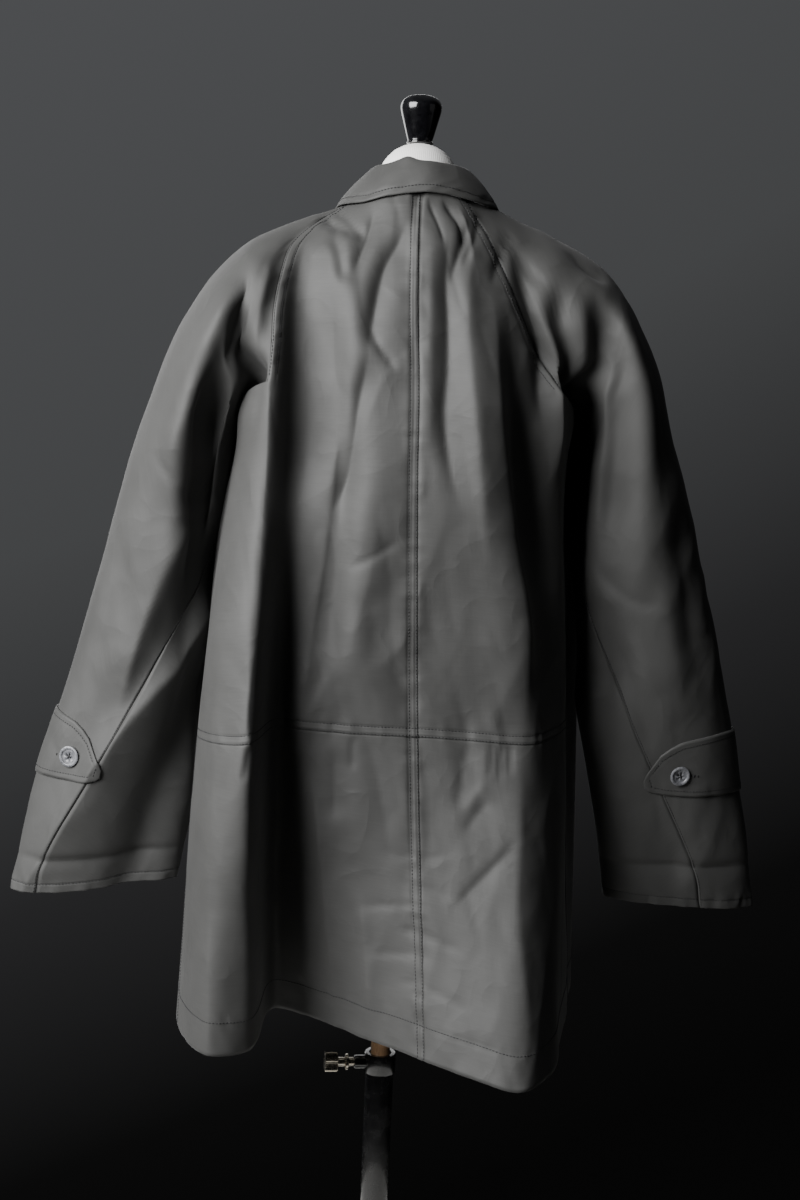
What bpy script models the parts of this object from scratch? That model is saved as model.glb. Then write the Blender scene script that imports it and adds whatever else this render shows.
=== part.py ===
"""A raglan raincoat worn by a limbless dress form on a clamped stand. Metres, +Z up, back to -Y."""
import math
from typing import NamedTuple

import bpy
from mathutils import Matrix, Vector

for item in list(bpy.data.objects):
    bpy.data.objects.remove(item, do_unlink=True)

# Cloth sizes
WALL = 0.0012
SEAM_SETBACK = 0.0003
ARMHOLE_SETBACK = 0.0012
COLLAR_WALL = 0.0016
TAB_WALL = 0.0018
TAB_LIFT = 0.0027
OVERLAP_HALF = 0.030
OVERLAP_LIFT = 0.0040

# Heights shared by the sections of the coat's body
HIP_SHARE = 0.4805
CHEST_SHARE = 0.8510
LINES = 20
BACK_FOOT = 4
SIDE_SEAM = 6
FRONT_FOOT = 8
CENTRE_FRONT = 10

# Neck seam
NECK_HALF_WIDTH = 0.068
NECK_CENTRE_Y = -0.008
NECK_HALF_DEPTH = 0.070
NECK_HEIGHT = 1.456
NECK_FRONT_DROP = 0.056
NECK_CENTRE_BACK = -8.0
NECK_FRONT_CORNER = 122.0
NECK_BACK_CORNER = {1: 33.0, -1: 80.0}

# Mesh steps
LINE_STEPS = 3
LOWER_ROWS = 7
UPPER_ROWS = 8
RAGLAN_ROWS = 7
SLEEVE_ROWS = 19
UNDER_STEPS = 6

# Buttons
BUTTON_RADIUS = 0.0115
BUTTON_HEIGHT = 0.0040
BUTTON_HOLE_RADIUS = 0.0011
BUTTON_HOLE_PITCH = 0.0021
BUTTON_GAP = 0.0005
FRONT_BUTTON_HEIGHTS = (1.33, 1.19, 1.05, 0.91, 0.77)

# Stand
POST_RADIUS = 0.0110
POST_FOOT = 0.220
TUBE_RADIUS = 0.0160
TUBE_BORE = 0.0125
TUBE_FOOT = 0.0455
TUBE_TOP = 0.4735
CLAMP_RADIUS = 0.0180
CLAMP_LOW = 0.4742
CLAMP_TOP = 0.4970
SCREW_HEIGHT = 0.4855
BASE_RADIUS = 0.170
TORSO_FOOT = 0.770


class FoldLine(NamedTuple):
    """One upright line of the body: its place at hem, hip, chest and armhole."""

    name: str
    hem_x: float
    hem_y: float
    hem_z: float
    hip_x: float
    hip_y: float
    chest_x: float
    chest_y: float
    top_x: float
    top_y: float
    top_z: float


FOLD_LINES = (
    FoldLine("centre_back", 0.014, -0.200, 0.567, 0.000, -0.138, -0.012, -0.146, -0.014, -0.143, 1.253),
    FoldLine("right_panel", 0.060, -0.238, 0.562, 0.062, -0.142, 0.038, -0.147, 0.034, -0.144, 1.253),
    FoldLine("right_edge", 0.105, -0.262, 0.556, 0.121, -0.142, 0.080, -0.142, 0.078, -0.140, 1.253),
    FoldLine("right_fall", 0.148, -0.222, 0.560, 0.155, -0.112, 0.117, -0.124, 0.116, -0.131, 1.253),
    FoldLine("right_crest", 0.172, -0.150, 0.565, 0.178, -0.075, 0.152, -0.105, 0.148, -0.115, 1.253),
    FoldLine("right_corner", 0.196, -0.080, 0.567, 0.187, -0.035, 0.170, -0.060, 0.170, -0.065, 1.240),
    FoldLine("right_side", 0.212, -0.020, 0.567, 0.194, 0.000, 0.178, -0.005, 0.175, -0.005, 1.233),
    FoldLine("right_front_side", 0.228, 0.050, 0.567, 0.224, 0.066, 0.209, 0.064, 0.178, 0.055, 1.238),
    FoldLine("right_front_crest", 0.184, 0.132, 0.567, 0.178, 0.128, 0.156, 0.112, 0.147, 0.105, 1.250),
    FoldLine("right_front", 0.092, 0.165, 0.567, 0.085, 0.150, 0.075, 0.142, 0.075, 0.138, 1.253),
    FoldLine("centre_front", 0.000, 0.175, 0.567, 0.000, 0.160, 0.000, 0.152, 0.000, 0.146, 1.253),
    FoldLine("left_front", -0.095, 0.160, 0.567, -0.088, 0.148, -0.075, 0.142, -0.075, 0.138, 1.253),
    FoldLine("left_front_crest", -0.178, 0.115, 0.567, -0.168, 0.108, -0.157, 0.112, -0.147, 0.105, 1.250),
    FoldLine("left_front_side", -0.222, 0.030, 0.567, -0.201, 0.022, -0.200, 0.062, -0.178, 0.052, 1.238),
    FoldLine("left_side", -0.234, -0.085, 0.565, -0.222, -0.100, -0.197, -0.045, -0.178, -0.005, 1.233),
    FoldLine("left_corner", -0.205, -0.180, 0.566, -0.208, -0.165, -0.193, -0.095, -0.180, -0.070, 1.240),
    FoldLine("left_crest", -0.160, -0.168, 0.566, -0.172, -0.190, -0.163, -0.135, -0.163, -0.128, 1.253),
    FoldLine("left_valley", -0.130, -0.062, 0.572, -0.140, -0.108, -0.130, -0.114, -0.130, -0.122, 1.253),
    FoldLine("left_inner", -0.085, -0.090, 0.570, -0.110, -0.120, -0.096, -0.136, -0.098, -0.136, 1.253),
    FoldLine("left_panel", -0.035, -0.145, 0.568, -0.055, -0.134, -0.055, -0.146, -0.056, -0.142, 1.253),
)

# Seams above the armhole, foot to neck: x, y, z
CENTRE_BACK_TOP = (
    (-0.014, -0.143, 1.253), (-0.016, -0.139, 1.300), (-0.017, -0.130, 1.350),
    (-0.016, -0.115, 1.400), (-0.013, -0.096, 1.437),
)
CENTRE_FRONT_TOP = ((0.0, 0.146, 1.253), (0.0, 0.130, 1.310), (0.0, 0.104, 1.360))
RAGLAN_BACK = {
    1: ((0.148, -0.115, 1.253), (0.122, -0.118, 1.290), (0.098, -0.117, 1.334),
        (0.081, -0.110, 1.372), (0.063, -0.099, 1.411), (0.050, -0.088, 1.433)),
    -1: ((-0.163, -0.128, 1.253), (-0.160, -0.122, 1.290), (-0.158, -0.108, 1.330),
         (-0.151, -0.092, 1.366), (-0.139, -0.068, 1.398), (-0.106, -0.036, 1.428)),
}
RAGLAN_FRONT = ((0.147, 0.105, 1.250), (0.140, 0.100, 1.290), (0.128, 0.088, 1.330),
                (0.110, 0.070, 1.370), (0.088, 0.048, 1.405))


class BackFold(NamedTuple):
    """A ridge (positive) or trough (negative) down the upper back."""

    name: str
    top_x: float
    top_z: float
    low_x: float
    low_z: float
    half_width: float
    height: float


BACK_FOLDS = (
    BackFold("yoke_trough", -0.024, 1.440, -0.064, 1.300, 0.012, -0.011),
    BackFold("blade_trough", -0.060, 1.360, -0.084, 1.150, 0.014, -0.011),
    BackFold("valley_head", -0.128, 1.410, -0.130, 1.150, 0.014, -0.016),
    BackFold("spine_trough", 0.012, 1.430, 0.020, 1.120, 0.008, -0.008),
    BackFold("spine_ridge", 0.040, 1.430, 0.052, 1.150, 0.014, 0.006),
    BackFold("right_trough", 0.072, 1.380, 0.122, 1.170, 0.012, -0.012),
)


class SleeveRing(NamedTuple):
    """One ring of a sleeve: its outer and inner points, and its depth front to back."""

    name: str
    outer_x: float
    outer_z: float
    inner_x: float
    inner_z: float
    centre_y: float
    half_depth: float


SLEEVE_RINGS = {
    -1: (
        SleeveRing("shoulder", 0.184, 1.400, 0.197, 1.228, -0.005, 0.108),
        SleeveRing("upper_arm", 0.247, 1.319, 0.204, 1.190, 0.000, 0.100),
        SleeveRing("bicep", 0.289, 1.209, 0.207, 1.125, 0.004, 0.088),
        SleeveRing("above_elbow", 0.315, 1.113, 0.212, 1.060, 0.008, 0.077),
        SleeveRing("elbow", 0.341, 1.006, 0.210, 0.972, 0.012, 0.067),
        SleeveRing("forearm", 0.364, 0.922, 0.211, 0.902, 0.014, 0.059),
        SleeveRing("tab", 0.394, 0.814, 0.217, 0.806, 0.015, 0.049),
        SleeveRing("cuff_line", 0.412, 0.726, 0.230, 0.735, 0.014, 0.040),
        SleeveRing("cuff_hem", 0.4165, 0.687, 0.238, 0.700, 0.013, 0.036),
    ),
    1: (
        SleeveRing("shoulder", 0.191, 1.402, 0.194, 1.228, -0.007, 0.108),
        SleeveRing("upper_arm", 0.257, 1.319, 0.201, 1.190, -0.006, 0.100),
        SleeveRing("bicep", 0.295, 1.209, 0.202, 1.130, -0.010, 0.086),
        SleeveRing("above_elbow", 0.326, 1.113, 0.2025, 1.060, -0.012, 0.075),
        SleeveRing("elbow", 0.357, 1.006, 0.204, 0.970, -0.013, 0.066),
        SleeveRing("forearm", 0.379, 0.922, 0.207, 0.900, -0.012, 0.059),
        SleeveRing("tab", 0.405, 0.814, 0.230, 0.806, -0.003, 0.049),
        SleeveRing("cuff_line", 0.424, 0.726, 0.246, 0.728, 0.000, 0.040),
        SleeveRing("cuff_hem", 0.432, 0.673, 0.252, 0.684, 0.002, 0.036),
    ),
}
# Angles round a ring: 0 outer, 90 back, 180 inner, 270 front
FOOT_ANGLE = 140.0
UNDER_ANGLE = 166.6667
NECK_ANGLE = {1: 24.0, -1: 10.0}
FRONT_NECK_ANGLE = 22.0
HIND_SEAM = {
    -1: (UNDER_ANGLE, 166.0, 167.0, 168.0, 158.0, 112.0, 90.0, 69.0, 51.0, 47.0),
    1: (UNDER_ANGLE, 166.0, 167.0, 168.0, 165.0, 142.0, 121.0, 100.0, 83.0, 79.0),
}
FORE_SEAM = (360.0 - UNDER_ANGLE, 194.0, 196.0, 198.0, 201.0, 204.0, 207.0, 210.0, 213.0, 215.0)


class SleeveFold(NamedTuple):
    """A fold along a sleeve: rings and angles where it starts and ends."""

    name: str
    first_ring: float
    first_angle: float
    last_ring: float
    last_angle: float
    half_angle: float
    height: float


SLEEVE_FOLDS = (
    SleeveFold("long_ridge", 0.6, 62.0, 4.6, 100.0, 13.0, 0.008),
    SleeveFold("long_trough", 0.8, 92.0, 4.4, 128.0, 13.0, -0.010),
    SleeveFold("front_ridge", 0.8, 300.0, 4.6, 265.0, 14.0, 0.006),
    SleeveFold("elbow_trough", 4.0, 120.0, 7.0, 140.0, 16.0, -0.007),
)

# Tab outline: degrees back from the tip, lower and upper edge above the tip
TAB_ROWS = (
    (0.0, -0.003, 0.005), (3.0, -0.007, 0.013), (8.0, -0.009, 0.022), (16.0, -0.0105, 0.037),
    (24.0, -0.011, 0.046), (33.0, -0.011, 0.053), (44.0, -0.0105, 0.057), (55.0, -0.010, 0.060),
    (66.0, -0.0095, 0.062), (78.0, -0.009, 0.063), (89.0, -0.009, 0.063), (100.0, -0.009, 0.063),
    (112.0, -0.009, 0.063), (123.0, -0.009, 0.063),
)
TAB_TIP = {-1: (78.0, 0.828), 1: (114.0, 0.823)}
TAB_BUTTON_BACK = 27.5
TAB_BUTTON_RISE = 0.015

# Collar sections from centre back: degrees, then neck, fold and fall edge as x, y, z
COLLAR_ROWS = (
    (0.0, (0.000, -0.0775, 1.4578), (0.000, -0.0745, 1.489), (0.000, -0.1040, 1.4560)),
    (45.0, (0.047, -0.0570, 1.4575), (0.0385, -0.0520, 1.4875), (0.066, -0.0800, 1.4495)),
    (90.0, (0.066, -0.0080, 1.4510), (0.0515, -0.0060, 1.483), (0.0900, -0.0050, 1.4470)),
    (135.0, (0.046, 0.0420, 1.4290), (0.042, 0.0440, 1.462), (0.0800, 0.0800, 1.4080)),
    (176.0, (0.004, 0.0600, 1.4030), (0.005, 0.0620, 1.432), (0.0600, 0.1270, 1.3520)),
)

# Dress form sections: height, half width, back depth, front depth
TORSO_ROWS = (
    (0.770, 0.138, 0.083, 0.083), (0.785, 0.148, 0.092, 0.092), (0.850, 0.155, 0.100, 0.098),
    (0.930, 0.150, 0.098, 0.095), (1.040, 0.130, 0.088, 0.090), (1.140, 0.138, 0.098, 0.108),
    (1.230, 0.148, 0.110, 0.112), (1.320, 0.152, 0.108, 0.084), (1.370, 0.156, 0.094, 0.060),
    (1.400, 0.142, 0.080, 0.044), (1.415, 0.116, 0.070, 0.036), (1.427, 0.088, 0.060, 0.033),
    (1.437, 0.064, 0.052, 0.034), (1.446, 0.051, 0.048, 0.037), (1.460, 0.0470, 0.0465, 0.041),
    (1.474, 0.0462, 0.0462, 0.0430), (1.488, 0.0430, 0.0435, 0.0420), (1.500, 0.0365, 0.0370, 0.0365),
    (1.509, 0.0280, 0.0285, 0.0280), (1.5145, 0.0185, 0.0185, 0.0185), (1.5170, 0.0105, 0.0105, 0.0105),
)
TORSO_SIDES = 24
CAP_HEIGHT = 0.0026
CAP_RADIUS = 0.0145


def spline(knots, points, place):
    """Smooth curve through points at rising knots, read at one place."""
    last = len(knots) - 2
    index = 0
    while index < last and place > knots[index + 1]:
        index += 1
    low = max(index - 1, 0)
    high = min(index + 2, len(knots) - 1)
    span = knots[index + 1] - knots[index]
    share = (place - knots[index]) / span
    start = (points[index + 1] - points[low]) * (span / (knots[index + 1] - knots[low]))
    end = (points[high] - points[index]) * (span / (knots[high] - knots[index]))
    square = share * share
    cube = square * share
    return (points[index] * (2 * cube - 3 * square + 1) + start * (cube - 2 * square + share)
            + points[index + 1] * (3 * square - 2 * cube) + end * (cube - square))


def chord_knots(points):
    """Running length along a row of points."""
    knots = [0.0]
    for first, second in zip(points, points[1:]):
        knots.append(knots[-1] + (second - first).length)
    return knots


def along(points, share):
    """Point at a share of the length of a smooth curve."""
    knots = chord_knots(points)
    return spline(knots, points, share * knots[-1])


def fold_push(x, z):
    """Outward push of the upper back's folds."""
    total = 0.0
    for fold in BACK_FOLDS:
        share = (fold.top_z - z) / (fold.top_z - fold.low_z)
        if 0.0 < share < 1.0:
            centre = fold.top_x + (fold.low_x - fold.top_x) * share
            fade = math.sin(math.pi * share) ** 0.8
            total += fold.height * fade * math.exp(-((x - centre) / fold.half_width) ** 2)
    return total


def line_point(line, share):
    """A fold line's point between hem (0) and armhole (1)."""
    knots = (0.0, HIP_SHARE, CHEST_SHARE, 1.0)
    x = spline(knots, (line.hem_x, line.hip_x, line.chest_x, line.top_x), share)
    y = spline(knots, (line.hem_y, line.hip_y, line.chest_y, line.top_y), share)
    return Vector((x, y, line.hem_z + (line.top_z - line.hem_z) * share))


def body_point(place, share):
    """Body below the armholes at a place among the fold lines."""
    points = [line_point(FOLD_LINES[k % LINES], share) for k in range(-2, LINES + 3)]
    knots = chord_knots(points)
    index = min(int(math.floor(place)) + 2, len(points) - 2)
    step = place + 2 - index
    point = spline(knots, points, knots[index] + step * (knots[index + 1] - knots[index]))
    if place < BACK_FOOT or place > LINES - BACK_FOOT:
        point.y -= fold_push(point.x, point.z)
    return point


def neck_point(angle):
    """Neck seam at an angle from the middle of the back."""
    turn = math.radians(angle)
    drop = NECK_FRONT_DROP * (0.5 - 0.5 * math.cos(turn)) ** 3
    return Vector((NECK_HALF_WIDTH * math.sin(turn),
                   NECK_CENTRE_Y - NECK_HALF_DEPTH * math.cos(turn), NECK_HEIGHT - drop))


def place_of(side, number):
    """Place of a line counted from centre back on one side."""
    return float(number) if side > 0 else float(LINES - number)


def raglan_curve(side, front):
    """Raglan seam from its foot to the neck."""
    if front:
        points = [Vector((side * x, y, z)) for x, y, z in RAGLAN_FRONT]
        points.append(neck_point(side * NECK_FRONT_CORNER))
    else:
        points = [Vector(row) for row in RAGLAN_BACK[side]]
        points.append(neck_point(side * NECK_BACK_CORNER[side]))
    return points


def top_patch(foot_row, middle, edge, neck_row, rows):
    """Rows between the armhole row and the neck row, blended from four edge curves."""
    count = len(foot_row) - 1
    result = []
    for row in range(rows + 1):
        up = row / rows
        centre = along(middle, up)
        side = along(edge, up)
        line = []
        for column in range(count + 1):
            out = column / count
            point = (foot_row[column] * (1 - up) + neck_row[column] * up
                     + centre * (1 - out) + side * out
                     - foot_row[0] * ((1 - out) * (1 - up)) - foot_row[-1] * (out * (1 - up))
                     - neck_row[0] * ((1 - out) * up) - neck_row[-1] * (out * up))
            line.append(point)
        result.append(line)
    return result


def back_grid(side):
    """Rows of one back half from hem to neck, columns from centre back to side seam."""
    main = BACK_FOOT * LINE_STEPS
    columns = SIDE_SEAM * LINE_STEPS
    places = [place_of(side, k / LINE_STEPS) for k in range(columns + 1)]
    shares = [HIP_SHARE * k / LOWER_ROWS for k in range(LOWER_ROWS)]
    shares += [HIP_SHARE + (1 - HIP_SHARE) * k / UPPER_ROWS for k in range(UPPER_ROWS + 1)]
    grid = [[body_point(place, share) for place in places] for share in shares]
    middle = [Vector(row) for row in CENTRE_BACK_TOP]
    middle.append(neck_point(NECK_CENTRE_BACK))
    middle[0] = grid[-1][0]
    edge = raglan_curve(side, False)
    edge[0] = grid[-1][main]
    corner = side * NECK_BACK_CORNER[side]
    neck = [neck_point(NECK_CENTRE_BACK + (corner - NECK_CENTRE_BACK) * k / main)
            for k in range(main + 1)]
    patch = top_patch(grid[-1][:main + 1], middle, edge, neck, RAGLAN_ROWS)
    for row in patch[1:]:
        for column, point in enumerate(row):
            point.y -= fold_push(point.x, point.z) * (1 - (column / main) ** 8)
        grid.append(row + [None] * (columns - main))
    return grid


def front_grid(side):
    """Rows of one front from hem to neck, columns from its overlapping edge to side seam."""
    first = CENTRE_FRONT - FRONT_FOOT
    main = first * LINE_STEPS + 2
    numbers = [CENTRE_FRONT + 0.36, CENTRE_FRONT + 0.18]
    numbers += [CENTRE_FRONT - k / LINE_STEPS for k in range((CENTRE_FRONT - SIDE_SEAM) * LINE_STEPS + 1)]
    places = [place_of(side, number) for number in numbers]
    rows = LOWER_ROWS + UPPER_ROWS
    grid = [[body_point(place, k / rows) for place in places] for k in range(rows + 1)]
    edge = raglan_curve(side, True)
    edge[0] = grid[-1][main]
    turn = math.degrees(math.asin(OVERLAP_HALF / NECK_HALF_WIDTH))
    start = side * (180.0 + turn)
    neck = [neck_point(start + (side * NECK_FRONT_CORNER - start) * k / main) for k in range(main + 1)]
    middle = [Vector(row) for row in CENTRE_FRONT_TOP]
    for point in middle:
        point.x = grid[-1][0].x
    middle[0] = grid[-1][0]
    middle.append(neck[0])
    for row in top_patch(grid[-1][:main + 1], middle, edge, neck, RAGLAN_ROWS)[1:]:
        grid.append(row + [None] * (len(places) - 1 - main))
    if side < 0:
        for row in grid:
            for point in row:
                if point is not None and point.y > 0.0:
                    share = min(max((point.x + 0.065) / 0.030, 0.0), 1.0)
                    point.y += OVERLAP_LIFT * share * share * (3 - 2 * share)
    return grid


def pull_in(grid, distance, first_row=SEAM_SETBACK):
    """Moves every free edge of a grid inward along its rows and columns."""
    def cell(row, column):
        if 0 <= row < len(grid) and 0 <= column < len(grid[0]):
            return grid[row][column]
        return None

    moved = []
    for row, line in enumerate(grid):
        fresh = []
        for column, point in enumerate(line):
            if point is not None:
                shift = Vector()
                for step_row, step_column in ((0, 1), (0, -1), (1, 0), (-1, 0)):
                    away = cell(row - step_row, column - step_column)
                    inner = cell(row + step_row, column + step_column)
                    if away is None and inner is not None:
                        setback = first_row if row == 0 and step_row == 1 else distance
                        shift += (inner - point).normalized() * setback
                point = point + shift
            fresh.append(point)
        moved.append(fresh)
    return moved


def ring_centre(side, number):
    """Middle of one sleeve ring."""
    ring = SLEEVE_RINGS[side][number - 1]
    return Vector((side * (ring.outer_x + ring.inner_x) / 2, ring.centre_y,
                   (ring.outer_z + ring.inner_z) / 2))


def ring_point(side, number, angle):
    """Point of one sleeve ring at an angle."""
    ring = SLEEVE_RINGS[side][number - 1]
    turn = math.radians(angle)
    half = Vector((side * (ring.outer_x - ring.inner_x) / 2, 0.0, (ring.outer_z - ring.inner_z) / 2))
    return (ring_centre(side, number) + half * math.cos(turn)
            + Vector((0.0, -ring.half_depth * math.sin(turn), 0.0)))


def armhole(side, back, front):
    """Armhole seam as angles and points shared with the body panels."""
    main_back = BACK_FOOT * LINE_STEPS
    main_front = (CENTRE_FRONT - FRONT_FOOT) * LINE_STEPS + 2
    low = LOWER_ROWS + UPPER_ROWS
    angles = [0.0]
    points = [neck_point(side * 90.0)]
    for k in range(RAGLAN_ROWS + 1):
        angles.append(NECK_ANGLE[side] + (FOOT_ANGLE - NECK_ANGLE[side]) * k / RAGLAN_ROWS)
        points.append(back[low + RAGLAN_ROWS - k][main_back])
    count = (SIDE_SEAM - BACK_FOOT) * LINE_STEPS
    for k in range(1, count + 1):
        angles.append(FOOT_ANGLE + (180.0 - FOOT_ANGLE) * k / count)
        points.append(back[low][main_back + k])
    for k in range(count - 1, -1, -1):
        angles.append(360.0 - FOOT_ANGLE - (180.0 - FOOT_ANGLE) * k / count)
        points.append(front[low][main_front + k])
    for k in range(1, RAGLAN_ROWS + 1):
        angles.append(360.0 - FOOT_ANGLE + (FOOT_ANGLE - FRONT_NECK_ANGLE) * k / RAGLAN_ROWS)
        points.append(front[low + k][main_front])
    angles.append(360.0)
    points.append(points[0])
    return angles, points


def seam_point(angles, points, angle):
    """Point on the armhole's straight runs at an angle."""
    angle = angle % 360.0
    index = 0
    while angle > angles[index + 1]:
        index += 1
    share = (angle - angles[index]) / (angles[index + 1] - angles[index])
    return points[index].lerp(points[index + 1], share)


def sleeve_point(side, seam, angle, ring):
    """Sleeve surface at an angle and a place between armhole (0) and cuff (9)."""
    points = [seam_point(seam[0], seam[1], angle)]
    points += [ring_point(side, k, angle) for k in range(1, 10)]
    point = spline(range(10), points, ring)
    centres = [ring_centre(side, 1)] + [ring_centre(side, k) for k in range(1, 10)]
    centre = spline(range(10), centres, ring)
    push = 0.0
    for fold in SLEEVE_FOLDS:
        share = (ring - fold.first_ring) / (fold.last_ring - fold.first_ring)
        if 0.0 < share < 1.0:
            middle = fold.first_angle + (fold.last_angle - fold.first_angle) * share
            apart = (angle - middle + 180.0) % 360.0 - 180.0
            push += fold.height * math.sin(math.pi * share) * math.exp(-(apart / fold.half_angle) ** 2)
    return point + (point - centre).normalized() * push


def sleeve_normal(side, seam, angle, ring):
    """Outward direction of the sleeve's surface."""
    around = sleeve_point(side, seam, angle + 1.0, ring) - sleeve_point(side, seam, angle - 1.0, ring)
    down = sleeve_point(side, seam, angle, ring + 0.02) - sleeve_point(side, seam, angle, ring - 0.02)
    normal = around.cross(down).normalized()
    middle = spline(range(1, 10), [ring_centre(side, k) for k in range(1, 10)], ring)
    point = sleeve_point(side, seam, angle, ring)
    return normal if normal.dot(point - middle) > 0 else -normal


def ring_at_height(side, seam, angle, height):
    """Place along the sleeve where its surface has a given height."""
    low = 3.0
    high = 9.0
    for _ in range(40):
        middle = (low + high) / 2
        if sleeve_point(side, seam, angle, middle).z > height:
            low = middle
        else:
            high = middle
    return (low + high) / 2


def sleeve_grids(side, seam):
    """Top and under panels of one sleeve, rows from armhole to cuff."""
    columns = [angle for angle in seam[0] if angle <= UNDER_ANGLE + 0.01]
    fore = [angle - 360.0 for angle in seam[0] if 360.0 - UNDER_ANGLE - 0.01 <= angle < 360.0]
    rings = [9.0 * k / SLEEVE_ROWS for k in range(SLEEVE_ROWS + 1)]
    top = []
    under = []
    for ring in rings:
        hind = spline(range(10), HIND_SEAM[side], ring)
        front = spline(range(10), FORE_SEAM, ring)
        row = [sleeve_point(side, seam, angle * (360.0 - front) / UNDER_ANGLE, ring) for angle in fore]
        row += [sleeve_point(side, seam, angle * hind / UNDER_ANGLE, ring) for angle in columns]
        top.append(row)
        under.append([sleeve_point(side, seam, hind + (front - hind) * k / UNDER_STEPS, ring)
                      for k in range(UNDER_STEPS + 1)])
    return top, under


def tab_grid(side, seam):
    """Tab on the cuff, made from the sleeve's points moved out."""
    tip_angle, tip_height = TAB_TIP[side]
    grid = []
    for back, low, high in TAB_ROWS:
        line = []
        for k in range(5):
            height = tip_height + low + (high - low) * k / 4
            angle = tip_angle - back
            ring = ring_at_height(side, seam, angle, height)
            lift = sleeve_normal(side, seam, angle, ring) * TAB_LIFT
            line.append(sleeve_point(side, seam, angle, ring) + lift)
        grid.append(line)
    return grid


def collar_grid():
    """Collar from front end to front end, columns from neck seam over the fold to its edge."""
    knots = [row[0] for row in COLLAR_ROWS]
    turns = [-176.0 + 352.0 * k / 32 for k in range(33)]
    grid = []
    for turn in turns:
        side = -1.0 if turn < 0 else 1.0
        spots = []
        for column in (1, 2, 3):
            points = [Vector(row[column]) for row in COLLAR_ROWS]
            first = Vector((-points[1].x, points[1].y, points[1].z))
            spot = spline([-knots[1]] + knots, [first] + points, abs(turn))
            spots.append(Vector((side * spot.x, spot.y, spot.z)))
        neck, fold, edge = spots
        out = (edge - neck)
        out.z = 0.0
        out.normalize()
        shoulder = fold + out * 0.0075 - Vector((0.0, 0.0, 0.0035))
        line = [neck, neck.lerp(fold, 0.45), neck.lerp(fold, 0.88), fold + out * 0.0030,
                shoulder, shoulder.lerp(edge, 0.33), shoulder.lerp(edge, 0.67), edge]
        grid.append(line)
    return grid


def make_material(name, colour, roughness, metallic=0.0):
    """Plain surface finish of one piece."""
    material = bpy.data.materials.new(name)
    material.use_nodes = True
    shader = material.node_tree.nodes["Principled BSDF"]
    shader.inputs["Base Color"].default_value = (*colour, 1.0)
    shader.inputs["Roughness"].default_value = roughness
    shader.inputs["Metallic"].default_value = metallic
    return material


COAT_CLOTH = (0.085, 0.085, 0.082)
BUTTON_GREY = (0.11, 0.11, 0.115)
parts = bpy.data.collections.new("raincoat_on_dress_form")
cutters = bpy.data.collections.new("cutters")
bpy.context.scene.collection.children.link(parts)
bpy.context.scene.collection.children.link(cutters)
cutters.hide_render = True


def add_mesh(name, points, faces, material, collection=parts):
    """Object made from points and faces."""
    mesh = bpy.data.meshes.new(name)
    mesh.from_pydata([tuple(point) for point in points], [], faces)
    mesh.update()
    item = bpy.data.objects.new(name, mesh)
    collection.objects.link(item)
    if material is not None:
        mesh.materials.append(material)
    return item


def add_sheet(name, grid, wall, outward, colour=COAT_CLOTH, roughness=0.6):
    """Cloth panel: an open grid given its wall on the inner side."""
    index = {}
    points = []
    for row, line in enumerate(grid):
        for column, point in enumerate(line):
            if point is not None:
                index[row, column] = len(points)
                points.append(point)
    faces = []
    for row in range(len(grid) - 1):
        for column in range(len(grid[0]) - 1):
            corners = [(row, column), (row, column + 1), (row + 1, column + 1), (row + 1, column)]
            if all(corner in index for corner in corners):
                face = [index[corner] for corner in corners]
                faces.append(face if outward else face[::-1])
    item = add_mesh(name, points, faces, make_material(name, colour, roughness))
    wall_modifier = item.modifiers.new("wall", "SOLIDIFY")
    wall_modifier.thickness = wall
    wall_modifier.offset = -1.0
    return item


def add_turned(name, profile, material, segments=24, collection=parts):
    """Turned piece: a profile of radius and height, top to bottom, spun about the post axis."""
    mesh = bpy.data.meshes.new(name)
    mesh.from_pydata([(radius, 0.0, height) for radius, height in profile],
                     [(k, k + 1) for k in range(len(profile) - 1)], [])
    item = bpy.data.objects.new(name, mesh)
    collection.objects.link(item)
    if material is not None:
        mesh.materials.append(material)
    screw = item.modifiers.new("spin", "SCREW")
    screw.axis = "Z"
    screw.angle = math.tau
    screw.steps = segments
    screw.render_steps = segments
    screw.use_merge_vertices = True
    screw.merge_threshold = 0.0001
    return item


def cut(item, cutter):
    """Takes a cutter out of a piece."""
    cutter.display_type = "WIRE"
    cutter.hide_render = True
    boolean = item.modifiers.new("bore", "BOOLEAN")
    boolean.operation = "DIFFERENCE"
    boolean.solver = "EXACT"
    boolean.object = cutter


def add_button(name, centre, normal):
    """Four-hole button: a turned rim and well, bored through."""
    top = BUTTON_HEIGHT
    item = add_turned(name, (
        (0.0, top * 0.62), (BUTTON_RADIUS * 0.66, top * 0.62), (BUTTON_RADIUS * 0.78, top),
        (BUTTON_RADIUS, top * 0.75), (BUTTON_RADIUS * 0.8, 0.0), (0.0, 0.0),
    ), make_material(name, BUTTON_GREY, 0.45), 16)
    frame = Matrix.Translation(centre) @ normal.to_track_quat("Z", "X").to_matrix().to_4x4()
    item.matrix_world = frame
    for number in range(4):
        turn = math.pi / 4 + math.pi / 2 * number
        hole = add_turned(f"{name}_bore_{number}", (
            (0.0, top * 2), (BUTTON_HOLE_RADIUS, top * 2), (BUTTON_HOLE_RADIUS, -top), (0.0, -top),
        ), None, 5, cutters)
        shift = Vector((math.cos(turn), math.sin(turn), 0.0)) * BUTTON_HOLE_PITCH
        hole.matrix_world = frame @ Matrix.Translation(shift)
        cut(item, hole)
    return item


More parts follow.
